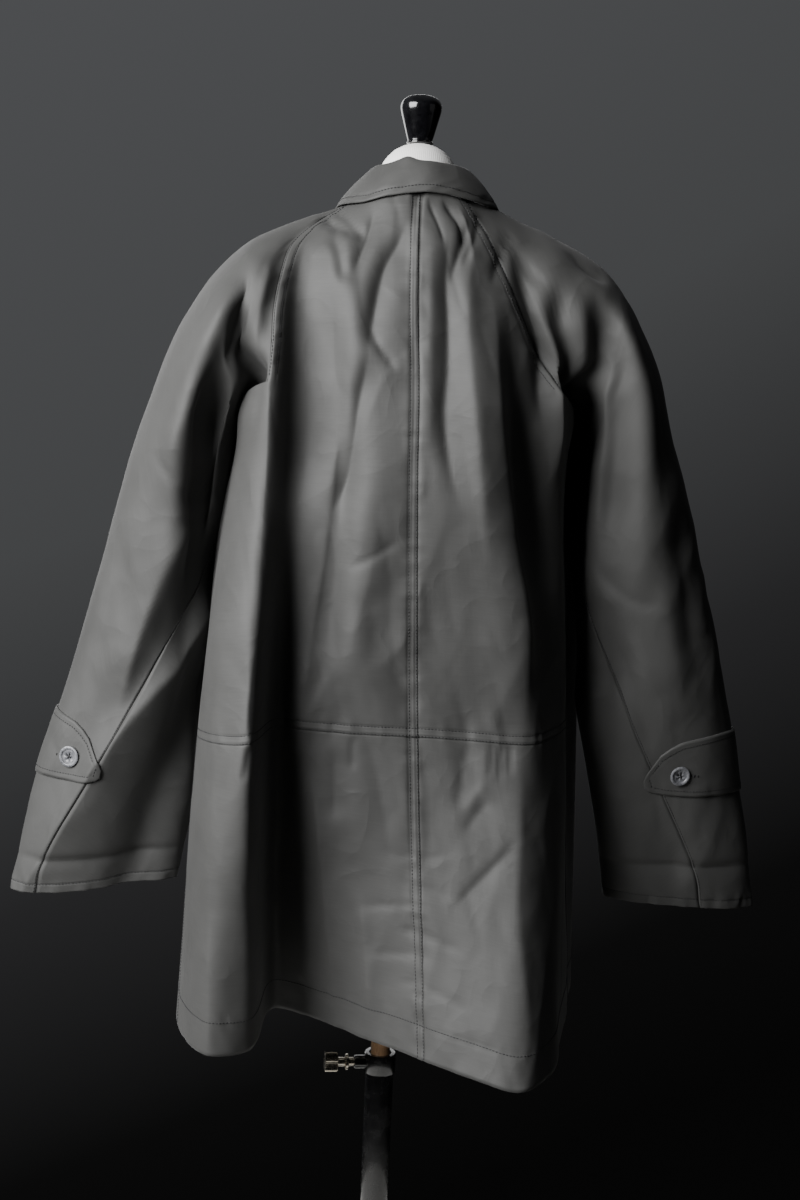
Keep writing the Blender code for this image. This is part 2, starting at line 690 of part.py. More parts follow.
# Coat body and sleeves
back = {side: back_grid(side) for side in (-1, 1)}
front = {side: front_grid(side) for side in (-1, 1)}
SIDE_NAME = {-1: "left", 1: "right"}
for side in (-1, 1):
    word = SIDE_NAME[side]
    add_sheet(f"back_lower_{word}", pull_in(back[side][:LOWER_ROWS + 1], SEAM_SETBACK), WALL, side > 0)
    add_sheet(f"back_upper_{word}", pull_in(back[side][LOWER_ROWS:], SEAM_SETBACK), WALL, side > 0)
    add_sheet(f"front_{word}", pull_in(front[side], SEAM_SETBACK), WALL, side < 0)
    seam = armhole(side, back[side], front[side])
    top_sleeve, under_sleeve = sleeve_grids(side, seam)
    add_sheet(f"top_sleeve_{word}", pull_in(top_sleeve, SEAM_SETBACK, ARMHOLE_SETBACK), WALL, side > 0)
    add_sheet(f"under_sleeve_{word}", pull_in(under_sleeve, SEAM_SETBACK, ARMHOLE_SETBACK), WALL, side > 0)
    add_sheet(f"tab_{word}", tab_grid(side, seam), TAB_WALL, side < 0)
    tip_angle, tip_height = TAB_TIP[side]
    angle = tip_angle - TAB_BUTTON_BACK
    ring = ring_at_height(side, seam, angle, tip_height + TAB_BUTTON_RISE)
    normal = sleeve_normal(side, seam, angle, ring)
    spot = sleeve_point(side, seam, angle, ring) + normal * (TAB_LIFT + BUTTON_GAP)
    add_button(f"tab_button_{word}", spot, normal)
add_sheet("collar", collar_grid(), COLLAR_WALL, True)

# Front buttons on the upper front's centre line
lines = [line for line in front[-1] if line[2] is not None]
heights = [line[2].z for line in lines]
for number, height in enumerate(FRONT_BUTTON_HEIGHTS, 1):
    spot = spline(heights, [line[2] for line in lines], height)
    rise = spline(heights, [line[2] for line in lines], height + 0.01) - spot
    across = spline(heights, [line[1] for line in lines], height) - spot
    normal = rise.cross(across).normalized()
    normal = normal if normal.y > 0 else -normal
    add_button(f"front_button_{number}", spot + normal * (BUTTON_GAP + WALL), normal)

# Dress form
torso_points = []
for height, half_width, back_depth, front_depth in TORSO_ROWS:
    for k in range(TORSO_SIDES):
        turn = math.tau * k / TORSO_SIDES
        depth = back_depth if math.cos(turn) > 0 else front_depth
        torso_points.append((half_width * math.sin(turn), -depth * math.cos(turn), height))
torso_faces = []
for row in range(len(TORSO_ROWS) - 1):
    for k in range(TORSO_SIDES):
        other = (k + 1) % TORSO_SIDES
        low = row * TORSO_SIDES
        torso_faces.append((low + k, low + other, low + TORSO_SIDES + other, low + TORSO_SIDES + k))
torso_faces.append(tuple(range(TORSO_SIDES - 1, -1, -1)))
torso_faces.append(tuple(range(len(torso_points) - TORSO_SIDES, len(torso_points))))
add_mesh("torso", torso_points, torso_faces, make_material("torso", (0.75, 0.74, 0.72), 0.8))

cap = add_turned("neck_cap", (
    (0.0, CAP_HEIGHT), (CAP_RADIUS - 0.0015, CAP_HEIGHT), (CAP_RADIUS, CAP_HEIGHT * 0.6),
    (CAP_RADIUS, CAP_HEIGHT * 0.2), (CAP_RADIUS - 0.001, 0.0), (0.0, 0.0),
), make_material("neck_cap", (0.01, 0.01, 0.01), 0.2))
cap.matrix_world = Matrix.Translation((0.0, 0.0, TORSO_ROWS[-1][0] + 0.0004))
add_turned("finial", (
    (0.0, 1.5690), (0.0080, 1.5686), (0.0150, 1.5668), (0.0200, 1.5630), (0.0222, 1.5580),
    (0.0220, 1.5530), (0.0200, 1.5450), (0.0170, 1.5340), (0.0148, 1.5260), (0.0137, 1.5225),
    (0.0134, 1.5204), (0.0, 1.5204),
), make_material("finial", (0.01, 0.01, 0.01), 0.12))

# Stand
add_turned("post", (
    (0.0, TORSO_FOOT - 0.0005), (POST_RADIUS, TORSO_FOOT - 0.0005), (POST_RADIUS, POST_FOOT + 0.002),
    (POST_RADIUS - 0.002, POST_FOOT), (0.0, POST_FOOT),
), make_material("post", (0.45, 0.28, 0.16), 0.5))
tube = add_turned("tube", (
    (TUBE_BORE, TUBE_TOP), (TUBE_RADIUS, TUBE_TOP), (TUBE_RADIUS, TUBE_FOOT), (TUBE_BORE, TUBE_FOOT),
    (TUBE_BORE, TUBE_TOP),
), make_material("tube", (0.012, 0.012, 0.012), 0.2))
clamp = add_turned("clamp", (
    (TUBE_BORE, CLAMP_TOP), (CLAMP_RADIUS - 0.001, CLAMP_TOP), (CLAMP_RADIUS, CLAMP_TOP - 0.001),
    (CLAMP_RADIUS, CLAMP_LOW), (TUBE_BORE, CLAMP_LOW), (TUBE_BORE, CLAMP_TOP),
), make_material("clamp", (0.012, 0.012, 0.012), 0.25))
screw_frame = Matrix.Translation((0.0, 0.0, SCREW_HEIGHT)) @ Matrix.Rotation(-math.pi / 2, 4, "Y")
boss = add_turned("clamp_boss", ((0.0, 0.0300), (0.0068, 0.0300), (0.0075, 0.0290),
                                 (0.0075, 0.0150), (0.0, 0.0150)), None, 20, cutters)
boss.matrix_world = screw_frame
boss.display_type = "WIRE"
boss.hide_render = True
join = clamp.modifiers.new("boss", "BOOLEAN")
join.operation = "UNION"
join.solver = "EXACT"
join.object = boss
bore = add_turned("clamp_bore", ((0.0, 0.0400), (0.0036, 0.0400), (0.0036, 0.0050), (0.0, 0.0050)),
                  None, 16, cutters)
bore.matrix_world = screw_frame
cut(clamp, bore)
thumbscrew = add_turned("thumbscrew", (
    (0.0, 0.0640), (0.0095, 0.0640), (0.0110, 0.0630), (0.0110, 0.0500), (0.0095, 0.0490),
    (0.0052, 0.0488), (0.0050, 0.0410), (0.0090, 0.0400), (0.0090, 0.0370), (0.0050, 0.0360),
    (0.0048, 0.0308), (0.0030, 0.0306), (0.0030, 0.0120), (0.0, 0.0120),
), make_material("thumbscrew", (0.62, 0.60, 0.56), 0.3, 1.0), 20)
thumbscrew.matrix_world = screw_frame
add_turned("base", (
    (0.0, 0.0450), (0.0220, 0.0450), (0.0240, 0.0430), (0.0250, 0.0330), (0.0300, 0.0280),
    (BASE_RADIUS - 0.020, 0.0180), (BASE_RADIUS - 0.004, 0.0140), (BASE_RADIUS, 0.0100),
    (BASE_RADIUS, 0.0), (0.0, 0.0),
), make_material("base", (0.012, 0.012, 0.012), 0.25), 32)
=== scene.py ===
"""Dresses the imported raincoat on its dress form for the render.

Lengths are metres, +Z is up and the coat's back is to -Y.
"""
import logging
import math
from dataclasses import dataclass, field
from enum import Enum, IntEnum
from typing import Any, Optional, Sequence

import bpy
import numpy as np
from mathutils import Matrix, Vector


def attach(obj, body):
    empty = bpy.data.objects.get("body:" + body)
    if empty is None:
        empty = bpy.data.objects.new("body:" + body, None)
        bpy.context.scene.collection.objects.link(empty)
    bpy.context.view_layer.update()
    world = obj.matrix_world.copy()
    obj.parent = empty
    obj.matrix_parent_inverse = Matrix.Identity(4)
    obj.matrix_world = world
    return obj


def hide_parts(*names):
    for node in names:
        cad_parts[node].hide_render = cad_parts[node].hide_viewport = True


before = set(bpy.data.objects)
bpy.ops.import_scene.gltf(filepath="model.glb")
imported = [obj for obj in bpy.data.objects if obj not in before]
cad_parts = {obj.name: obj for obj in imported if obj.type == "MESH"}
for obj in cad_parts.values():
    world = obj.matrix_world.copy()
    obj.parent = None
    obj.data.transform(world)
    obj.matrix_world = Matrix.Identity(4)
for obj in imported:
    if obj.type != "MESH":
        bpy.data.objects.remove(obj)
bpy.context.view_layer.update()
log = logging.getLogger("raincoat")


class Side(Enum):
    """Wearer's side of the coat; the value is the sign of X."""

    LEFT = -1
    RIGHT = 1

    @property
    def word(self) -> str:
        """Word used in piece names."""
        return self.name.lower()


class Facing(Enum):
    """Half of the coat that a crease lies on; the value is the sign of Y."""

    BACK = -1
    FRONT = 1


class ThreadPattern(Enum):
    """How a button is sewn on."""

    CROSS = "cross"
    BARS = "bars"


class Seed(IntEnum):
    """Numbers of the noise patterns; those of creases are shifted by the facing."""

    DRIFT = 5
    WRINKLE = 11
    FOLD_IN = 17
    FOLD_OUT = 23
    FINE_FOLD = 29
    CENTRE_BACK = 31
    HIP = 37
    RAGLAN = 41
    BACK_HEM = 43
    HEM_WAVE = 47
    FRONT_HEM = 53
    FRONT_EDGE = 59
    CUFF = 61
    CUFF_PUCKER = 67
    COLLAR = 71
    COLLAR_FALL = 73
    COLLAR_EDGE = 79


SAME = 1e-6
# A crease fades over this span of the normal's Y, from this far past the coat's side
FACING_EDGE = 0.15
FACING_SPAN = 0.5
WRINKLE_HEIGHT = 0.0006
FOLD_HEIGHT = 0.0026
FINE_HEIGHT = 0.0008
DIP_DEPTH = 0.0006
DIP_WIDTH = 0.0011
PUCKER_LENGTH = 0.0065
PUCKER_HEIGHT = 0.0007
PUCKER_REACH = 0.007
# Walls whose normal has more X than this are pushed mostly straight along Y
STEEP_FROM = 0.50
STEEP_SPAN = 0.35
STEEP_SHARE = 0.85


def linear(colour: str) -> tuple[float, float, float, float]:
    """Linear colour of an sRGB hex value.

    Args:
        colour: Six hex digits after a hash sign.

    Returns:
        Red, green, blue and alpha.
    """
    parts = [int(colour[k:k + 2], 16) / 255 for k in (1, 3, 5)]
    red, green, blue = (p / 12.92 if p <= 0.04045 else ((p + 0.055) / 1.055) ** 2.4 for p in parts)
    return red, green, blue, 1.0


def add_node(tree: bpy.types.NodeTree, kind: str, settings: Optional[dict[Any, Any]] = None,
             links: Optional[dict[Any, bpy.types.NodeSocket]] = None) -> bpy.types.Node:
    """Adds one node with its settings and links.

    Args:
        tree: Node tree that takes the node.
        kind: Blender's name of the node type.
        settings: Node properties by name, or input values by socket name or number.
        links: Output sockets by the name or number of the input that they feed.

    Returns:
        The new node.
    """
    node = tree.nodes.new(kind)
    for key, value in (settings or {}).items():
        if isinstance(key, str) and hasattr(node, key):
            setattr(node, key, value)
        else:
            node.inputs[key].default_value = value
    for key, socket in (links or {}).items():
        tree.links.new(socket, node.inputs[key])
    return node


def new_material(name: str) -> tuple[bpy.types.Material, bpy.types.NodeTree, bpy.types.Node]:
    """Empty material with its shader.

    Args:
        name: Material's name.

    Returns:
        Material, node tree and shader node.
    """
    material = bpy.data.materials.new(name)
    material.use_nodes = True
    return material, material.node_tree, material.node_tree.nodes["Principled BSDF"]


def two_shades(tree: bpy.types.NodeTree, factor: bpy.types.NodeSocket, low: str, high: str,
               places: tuple[float, float] = (0.0, 1.0)) -> bpy.types.NodeSocket:
    """Adds a colour ramp between two shades.

    Args:
        tree: Node tree that takes the ramp.
        factor: Output that picks the shade.
        low: Hex shade of low factors.
        high: Hex shade of high factors.
        places: Factor where each shade is full.

    Returns:
        The ramp's colour output.
    """
    node = add_node(tree, "ShaderNodeValToRGB", {}, {"Fac": factor})
    for stop, position, shade in zip(node.color_ramp.elements, places, (low, high)):
        stop.position = position
        stop.color = linear(shade)
    return node.outputs["Color"]


def wave_scale(spacing: float) -> float:
    """Wave texture scale whose bands lie a spacing apart, in metres."""
    return math.tau / (20.0 * spacing)


@dataclass(frozen=True)
class ProofedPoplin:
    """Cotton and polyester poplin, plain woven and proofed: smooth, crisp and a little satin."""

    shade: str = "#484847"
    deep_shade: str = "#414140"
    roughness: float = 0.60
    # Real threads lie 0.25 mm apart; drawn coarser so that they show
    thread_spacing: float = 0.0013
    slub_length: float = 0.030
    crumple_width: float = 0.060
    crumple_depth: float = 0.0016

    def make(self) -> bpy.types.Material:
        """Builds the cloth: thread bands, slubs, soft crumple and uneven proofing.

        Returns:
            The cloth's material.
        """
        material, tree, shader = new_material("proofed_poplin")
        flat = add_node(tree, "ShaderNodeUVMap", {"uv_map": "flat"})
        place = add_node(tree, "ShaderNodeTexCoord")
        warp, weft = (add_node(tree, "ShaderNodeTexWave", {
            "bands_direction": way, "Scale": wave_scale(self.thread_spacing), "Distortion": 0.6,
            "Detail": 1.0}, {"Vector": flat.outputs["UV"]}) for way in "XY")
        weave = add_node(tree, "ShaderNodeMath", {"operation": "MULTIPLY"},
                         {0: warp.outputs["Fac"], 1: weft.outputs["Fac"]})
        stretch = add_node(tree, "ShaderNodeMapping", {
            "Scale": (1.0 / self.slub_length, 1.0 / (self.thread_spacing * 1.2), 1.0)},
            {"Vector": flat.outputs["UV"]})
        slub = add_node(tree, "ShaderNodeTexNoise", {"Scale": 1.0, "Detail": 2.0},
                        {"Vector": stretch.outputs["Vector"]})
        patches = add_node(tree, "ShaderNodeTexNoise", {
            "Scale": 9.0, "Detail": 4.0, "Roughness": 0.6}, {"Vector": place.outputs["Object"]})
        mixed = add_node(tree, "ShaderNodeMix", {"data_type": "FLOAT", "Factor": 0.35},
                         {2: patches.outputs["Fac"], 3: slub.outputs["Fac"]})
        shades = two_shades(tree, mixed.outputs[0], self.deep_shade, self.shade, (0.35, 0.65))
        proofing = add_node(tree, "ShaderNodeMapRange", {
            "From Min": 0.3, "From Max": 0.7, "To Min": self.roughness - 0.05,
            "To Max": self.roughness + 0.07}, {"Value": patches.outputs["Fac"]})
        crumple = add_node(tree, "ShaderNodeTexNoise", {
            "noise_type": "RIDGED_MULTIFRACTAL", "normalize": True,
            "Scale": 1.0 / self.crumple_width, "Detail": 2.0, "Roughness": 0.5, "Lacunarity": 2.2,
            "Offset": 0.9, "Gain": 1.2, "Distortion": 0.3}, {"Vector": place.outputs["Object"]})
        soft = add_node(tree, "ShaderNodeBump", {"Strength": 0.35, "Distance": self.crumple_depth},
                        {"Height": crumple.outputs["Fac"]})
        fine = add_node(tree, "ShaderNodeBump", {"Strength": 0.12, "Distance": 0.0003},
                        {"Height": weave.outputs[0], "Normal": soft.outputs["Normal"]})
        shader.inputs["Specular IOR Level"].default_value = 0.38
        shader.inputs["Sheen Weight"].default_value = 0.08
        shader.inputs["Sheen Roughness"].default_value = 0.4
        tree.links.new(shades, shader.inputs["Base Color"])
        tree.links.new(proofing.outputs["Result"], shader.inputs["Roughness"])
        tree.links.new(fine.outputs["Normal"], shader.inputs["Normal"])
        return material


@dataclass(frozen=True)
class SewingThread:
    """Spun polyester thread: matt, dark, with a visible twist whose grooves get painted shade."""

    shade: str = "#262627"
    # Painted shade in the twist's grooves
    deep_shade: str = "#1b1b1c"
    twist: float = 0.0006

    def make(self) -> bpy.types.Material:
        """Builds the thread.

        Returns:
            The thread's material.
        """
        material, tree, shader = new_material("sewing_thread")
        place = add_node(tree, "ShaderNodeTexCoord")
        twist = add_node(tree, "ShaderNodeTexWave", {
            "bands_direction": "DIAGONAL", "Scale": wave_scale(self.twist)},
            {"Vector": place.outputs["Object"]})
        # Painted shade: the twist's grooves, low on the bump, take the darker shade
        shades = two_shades(tree, twist.outputs["Fac"], self.deep_shade, self.shade)
        bump = add_node(tree, "ShaderNodeBump", {"Strength": 0.4, "Distance": 0.0002},
                        {"Height": twist.outputs["Fac"]})
        shader.inputs["Roughness"].default_value = 0.6
        tree.links.new(shades, shader.inputs["Base Color"])
        tree.links.new(bump.outputs["Normal"], shader.inputs["Normal"])
        return material


@dataclass(frozen=True)
class HornResin:
    """Cast polyester resin turned to look like grey horn: clouded, with a soft polish."""

    light: str = "#85868a"
    dark: str = "#55565a"
    cloud: float = 0.006

    def make(self) -> bpy.types.Material:
        """Builds the button resin.

        Returns:
            The resin's material.
        """
        material, tree, shader = new_material("horn_resin")
        place = add_node(tree, "ShaderNodeTexCoord")
        cloud = add_node(tree, "ShaderNodeTexNoise", {
            "Scale": 1.0 / self.cloud, "Detail": 3.0, "Distortion": 1.5},
            {"Vector": place.outputs["Object"]})
        shades = two_shades(tree, cloud.outputs["Fac"], self.dark, self.light, (0.35, 0.7))
        shader.inputs["Roughness"].default_value = 0.3
        shader.inputs["IOR"].default_value = 1.54
        tree.links.new(shades, shader.inputs["Base Color"])
        return material


@dataclass(frozen=True)
class CottonJersey:
    """White knitted jersey stretched over the form: matt, with fine upright wales."""

    shade: str = "#fbfaf8"
    shadow: str = "#efeeea"
    wale: float = 0.0022  # real wales lie 1 mm apart; drawn coarser so that they show

    def make(self) -> bpy.types.Material:
        """Builds the form's cover.

        Returns:
            The jersey's material.
        """
        material, tree, shader = new_material("cotton_jersey")
        place = add_node(tree, "ShaderNodeTexCoord")
        wales = add_node(tree, "ShaderNodeTexWave", {
            "bands_direction": "X", "Scale": wave_scale(self.wale), "Distortion": 1.0,
            "Detail": 2.0}, {"Vector": place.outputs["Object"]})
        wear = add_node(tree, "ShaderNodeTexNoise", {"Scale": 18.0, "Detail": 4.0},
                        {"Vector": place.outputs["Object"]})
        shades = two_shades(tree, wear.outputs["Fac"], self.shadow, self.shade, (0.3, 0.6))
        bump = add_node(tree, "ShaderNodeBump", {"Strength": 0.25, "Distance": 0.0004},
                        {"Height": wales.outputs["Fac"]})
        shader.inputs["Roughness"].default_value = 0.85
        shader.inputs["Sheen Weight"].default_value = 0.2
        tree.links.new(shades, shader.inputs["Base Color"])
        tree.links.new(bump.outputs["Normal"], shader.inputs["Normal"])
        return material


@dataclass(frozen=True)
class GlossPaint:
    """Sprayed black paint, on turned wood or on steel: deep gloss over fine orange peel."""

    name: str
    shade: str
    rubbed: str
    roughness: float
    peel: float = 0.0030
    peel_depth: float = 0.00005

    def make(self) -> bpy.types.Material:
        """Builds the paint with handling marks.

        Returns:
            The paint's material.
        """
        material, tree, shader = new_material(self.name)
        place = add_node(tree, "ShaderNodeTexCoord")
        peel = add_node(tree, "ShaderNodeTexNoise", {"Scale": 1.0 / self.peel, "Detail": 2.0},
                        {"Vector": place.outputs["Object"]})
        marks = add_node(tree, "ShaderNodeTexNoise", {
            "Scale": 60.0, "Detail": 6.0, "Roughness": 0.7}, {"Vector": place.outputs["Object"]})
        shades = two_shades(tree, marks.outputs["Fac"], self.shade, self.rubbed, (0.45, 0.8))
        dull = add_node(tree, "ShaderNodeMapRange", {
            "From Min": 0.35, "From Max": 0.75, "To Min": self.roughness,
            "To Max": self.roughness + 0.14}, {"Value": marks.outputs["Fac"]})
        bump = add_node(tree, "ShaderNodeBump", {"Strength": 0.3, "Distance": self.peel_depth},
                        {"Height": peel.outputs["Fac"]})
        shader.inputs["IOR"].default_value = 1.5
        shader.inputs["Coat Weight"].default_value = 0.6
        shader.inputs["Coat Roughness"].default_value = 0.08
        tree.links.new(shades, shader.inputs["Base Color"])
        tree.links.new(dull.outputs["Result"], shader.inputs["Roughness"])
        tree.links.new(bump.outputs["Normal"], shader.inputs["Normal"])
        return material


@dataclass(frozen=True)
class VarnishedBeech:
    """Turned beech under thin varnish: pinkish tan with short dark flecks along the grain."""

    light: str = "#c9a27c"
    dark: str = "#a57a55"
    grain: float = 0.0016
    fleck_length: float = 0.012

    def make(self) -> bpy.types.Material:
        """Builds the wood with its grain upright.

        Returns:
            The wood's material.
        """
        material, tree, shader = new_material("varnished_beech")
        place = add_node(tree, "ShaderNodeTexCoord")
        stretch = add_node(tree, "ShaderNodeMapping", {
            "Scale": (1.0 / self.grain, 1.0 / self.grain, 1.0 / self.fleck_length)},
            {"Vector": place.outputs["Object"]})
        grain = add_node(tree, "ShaderNodeTexNoise", {
            "Scale": 1.0, "Detail": 4.0, "Roughness": 0.65}, {"Vector": stretch.outputs["Vector"]})
        shades = two_shades(tree, grain.outputs["Fac"], self.dark, self.light, (0.3, 0.6))
        bump = add_node(tree, "ShaderNodeBump", {"Strength": 0.2, "Distance": 0.0001},
                        {"Height": grain.outputs["Fac"]})
        shader.inputs["Roughness"].default_value = 0.38
        shader.inputs["Coat Weight"].default_value = 0.25
        tree.links.new(shades, shader.inputs["Base Color"])
        tree.links.new(bump.outputs["Normal"], shader.inputs["Normal"])
        return material


@dataclass(frozen=True)
class PlatedNickel:
    """Nickel plate on turned steel: warm white metal with fine scratches."""

    shade: str = "#d2cabb"
    dull: str = "#a9a295"
    scratch: float = 0.0008

    def make(self) -> bpy.types.Material:
        """Builds the plating.

        Returns:
            The metal's material.
        """
        material, tree, shader = new_material("plated_nickel")
        place = add_node(tree, "ShaderNodeTexCoord")
        marks = add_node(tree, "ShaderNodeTexNoise", {"Scale": 1.0 / self.scratch, "Detail": 3.0},
                         {"Vector": place.outputs["Object"]})
        shades = two_shades(tree, marks.outputs["Fac"], self.dull, self.shade, (0.3, 0.6))
        polish = add_node(tree, "ShaderNodeMapRange", {
            "From Min": 0.3, "From Max": 0.7, "To Min": 0.32, "To Max": 0.18},
            {"Value": marks.outputs["Fac"]})
        shader.inputs["Metallic"].default_value = 1.0
        tree.links.new(shades, shader.inputs["Base Color"])
        tree.links.new(polish.outputs["Result"], shader.inputs["Roughness"])
        return material


def hermite(knots: Sequence[float], points: Any, places: Any) -> np.ndarray:
    """Smooth curve through points at rising knots, read at many places.

    Args:
        knots: Rising numbers, one for each point.
        points: Values on the first axis.
        places: Where the curve is read.

    Returns:
        One value for each place.
    """
    knot = np.asarray(knots, float)
    value = np.asarray(points, float)
    place = np.atleast_1d(np.asarray(places, float))
    index = np.clip(np.searchsorted(knot, place, side="left") - 1, 0, len(knot) - 2)
    low = np.maximum(index - 1, 0)
    high = np.minimum(index + 2, len(knot) - 1)
    shape = (-1,) + (1,) * (value.ndim - 1)
    span = knot[index + 1] - knot[index]
    share = ((place - knot[index]) / span).reshape(shape)
    start = (value[index + 1] - value[low]) * (span / (knot[index + 1] - knot[low])).reshape(shape)
    end = (value[high] - value[index]) * (span / (knot[high] - knot[index])).reshape(shape)
    return blend(value[index], value[index + 1], start, end, share)


def blend(first: np.ndarray, second: np.ndarray, start: np.ndarray, end: np.ndarray,
          share: np.ndarray) -> np.ndarray:
    """Cubic between two values with given slopes.

    Args:
        first: Value at share 0.
        second: Value at share 1.
        start: Slope at share 0.
        end: Slope at share 1.
        share: Place between the two.

    Returns:
        The blended values.
    """
    square = share * share
    cube = square * share
    return (first * (2 * cube - 3 * square + 1) + start * (cube - 2 * square + share)
            + second * (3 * square - 2 * cube) + end * (cube - square))


def along(points: Any, shares: Any) -> np.ndarray:
    """Points at shares of the length of a smooth curve.

    Args:
        points: Points that the curve passes.
        shares: Shares of its length.

    Returns:
        One point for each share.
    """
    row = np.asarray(points, float)
    knots = np.concatenate([[0.0], np.cumsum(np.linalg.norm(np.diff(row, axis=0), axis=1))])
    return hermite(knots, row, np.asarray(shares, float) * knots[-1])


def ease(value: np.ndarray) -> np.ndarray:
    """Smooth step from 0 to 1."""
    share = np.clip(value, 0.0, 1.0)
    return share * share * (3 - 2 * share)


def differ(points: np.ndarray, axis: int) -> np.ndarray:
    """Slope of a grid along one axis, one-sided at its open edges.

    Args:
        points: Rows, columns and coordinates, with gaps as nan.
        axis: 0 for along the columns, 1 for along the rows.

    Returns:
        The slope at each point.
    """
    moved = np.moveaxis(points, axis, 0)
    ahead = np.full_like(moved, np.nan)
    behind = np.full_like(moved, np.nan)
    ahead[:-1] = moved[1:] - moved[:-1]
    behind[1:] = ahead[:-1]
    ahead = np.where(np.isnan(ahead), behind, ahead)
    behind = np.where(np.isnan(behind), ahead, behind)
    return np.moveaxis(ahead + behind, 0, axis)


def grid_normals(points: np.ndarray) -> np.ndarray:
    """Unit normals of a grid, on the side where rows cross columns.

    Args:
        points: Rows, columns and coordinates.

    Returns:
        One normal for each point.
    """
    normal = np.cross(differ(points, 1), differ(points, 0))
    return normal / np.maximum(np.linalg.norm(normal, axis=-1, keepdims=True), 1e-12)


def arc(points: np.ndarray, axis: int, start: int = 0) -> np.ndarray:
    """Running length along one axis of a grid.

    Args:
        points: Rows, columns and coordinates.
        axis: Axis to run along.
        start: Index where the length is zero.

    Returns:
        Length from the start, always positive.
    """
    step = np.nan_to_num(np.linalg.norm(np.diff(points, axis=axis), axis=-1))
    zero = np.zeros_like(np.take(step, [0], axis=axis))
    total = np.concatenate([zero, np.cumsum(step, axis=axis)], axis=axis)
    return np.abs(total - np.take(total, [start], axis=axis))


def lattice_noise(across: np.ndarray, along_it: np.ndarray, seed: int) -> np.ndarray:
    """Smooth seeded noise on a unit lattice, from -1 to 1.

    Args:
        across: First coordinate.
        along_it: Second coordinate.
        seed: Number of the pattern.

    Returns:
        Noise of the same shape.
    """
    size = 64
    table = np.random.default_rng(int(seed)).uniform(-1.0, 1.0, (size, size))
    across = np.nan_to_num(across)
    along_it = np.nan_to_num(along_it)
    column = np.floor(across).astype(int)
    row = np.floor(along_it).astype(int)
    u = ease(across - column)
    v = ease(along_it - row)
    low_column, high_column = column % size, (column + 1) % size
    low_row, high_row = row % size, (row + 1) % size
    corner = table[low_column, low_row] * (1 - u) + table[high_column, low_row] * u
    other = table[low_column, high_row] * (1 - u) + table[high_column, high_row] * u
    return corner * (1 - v) + other * v


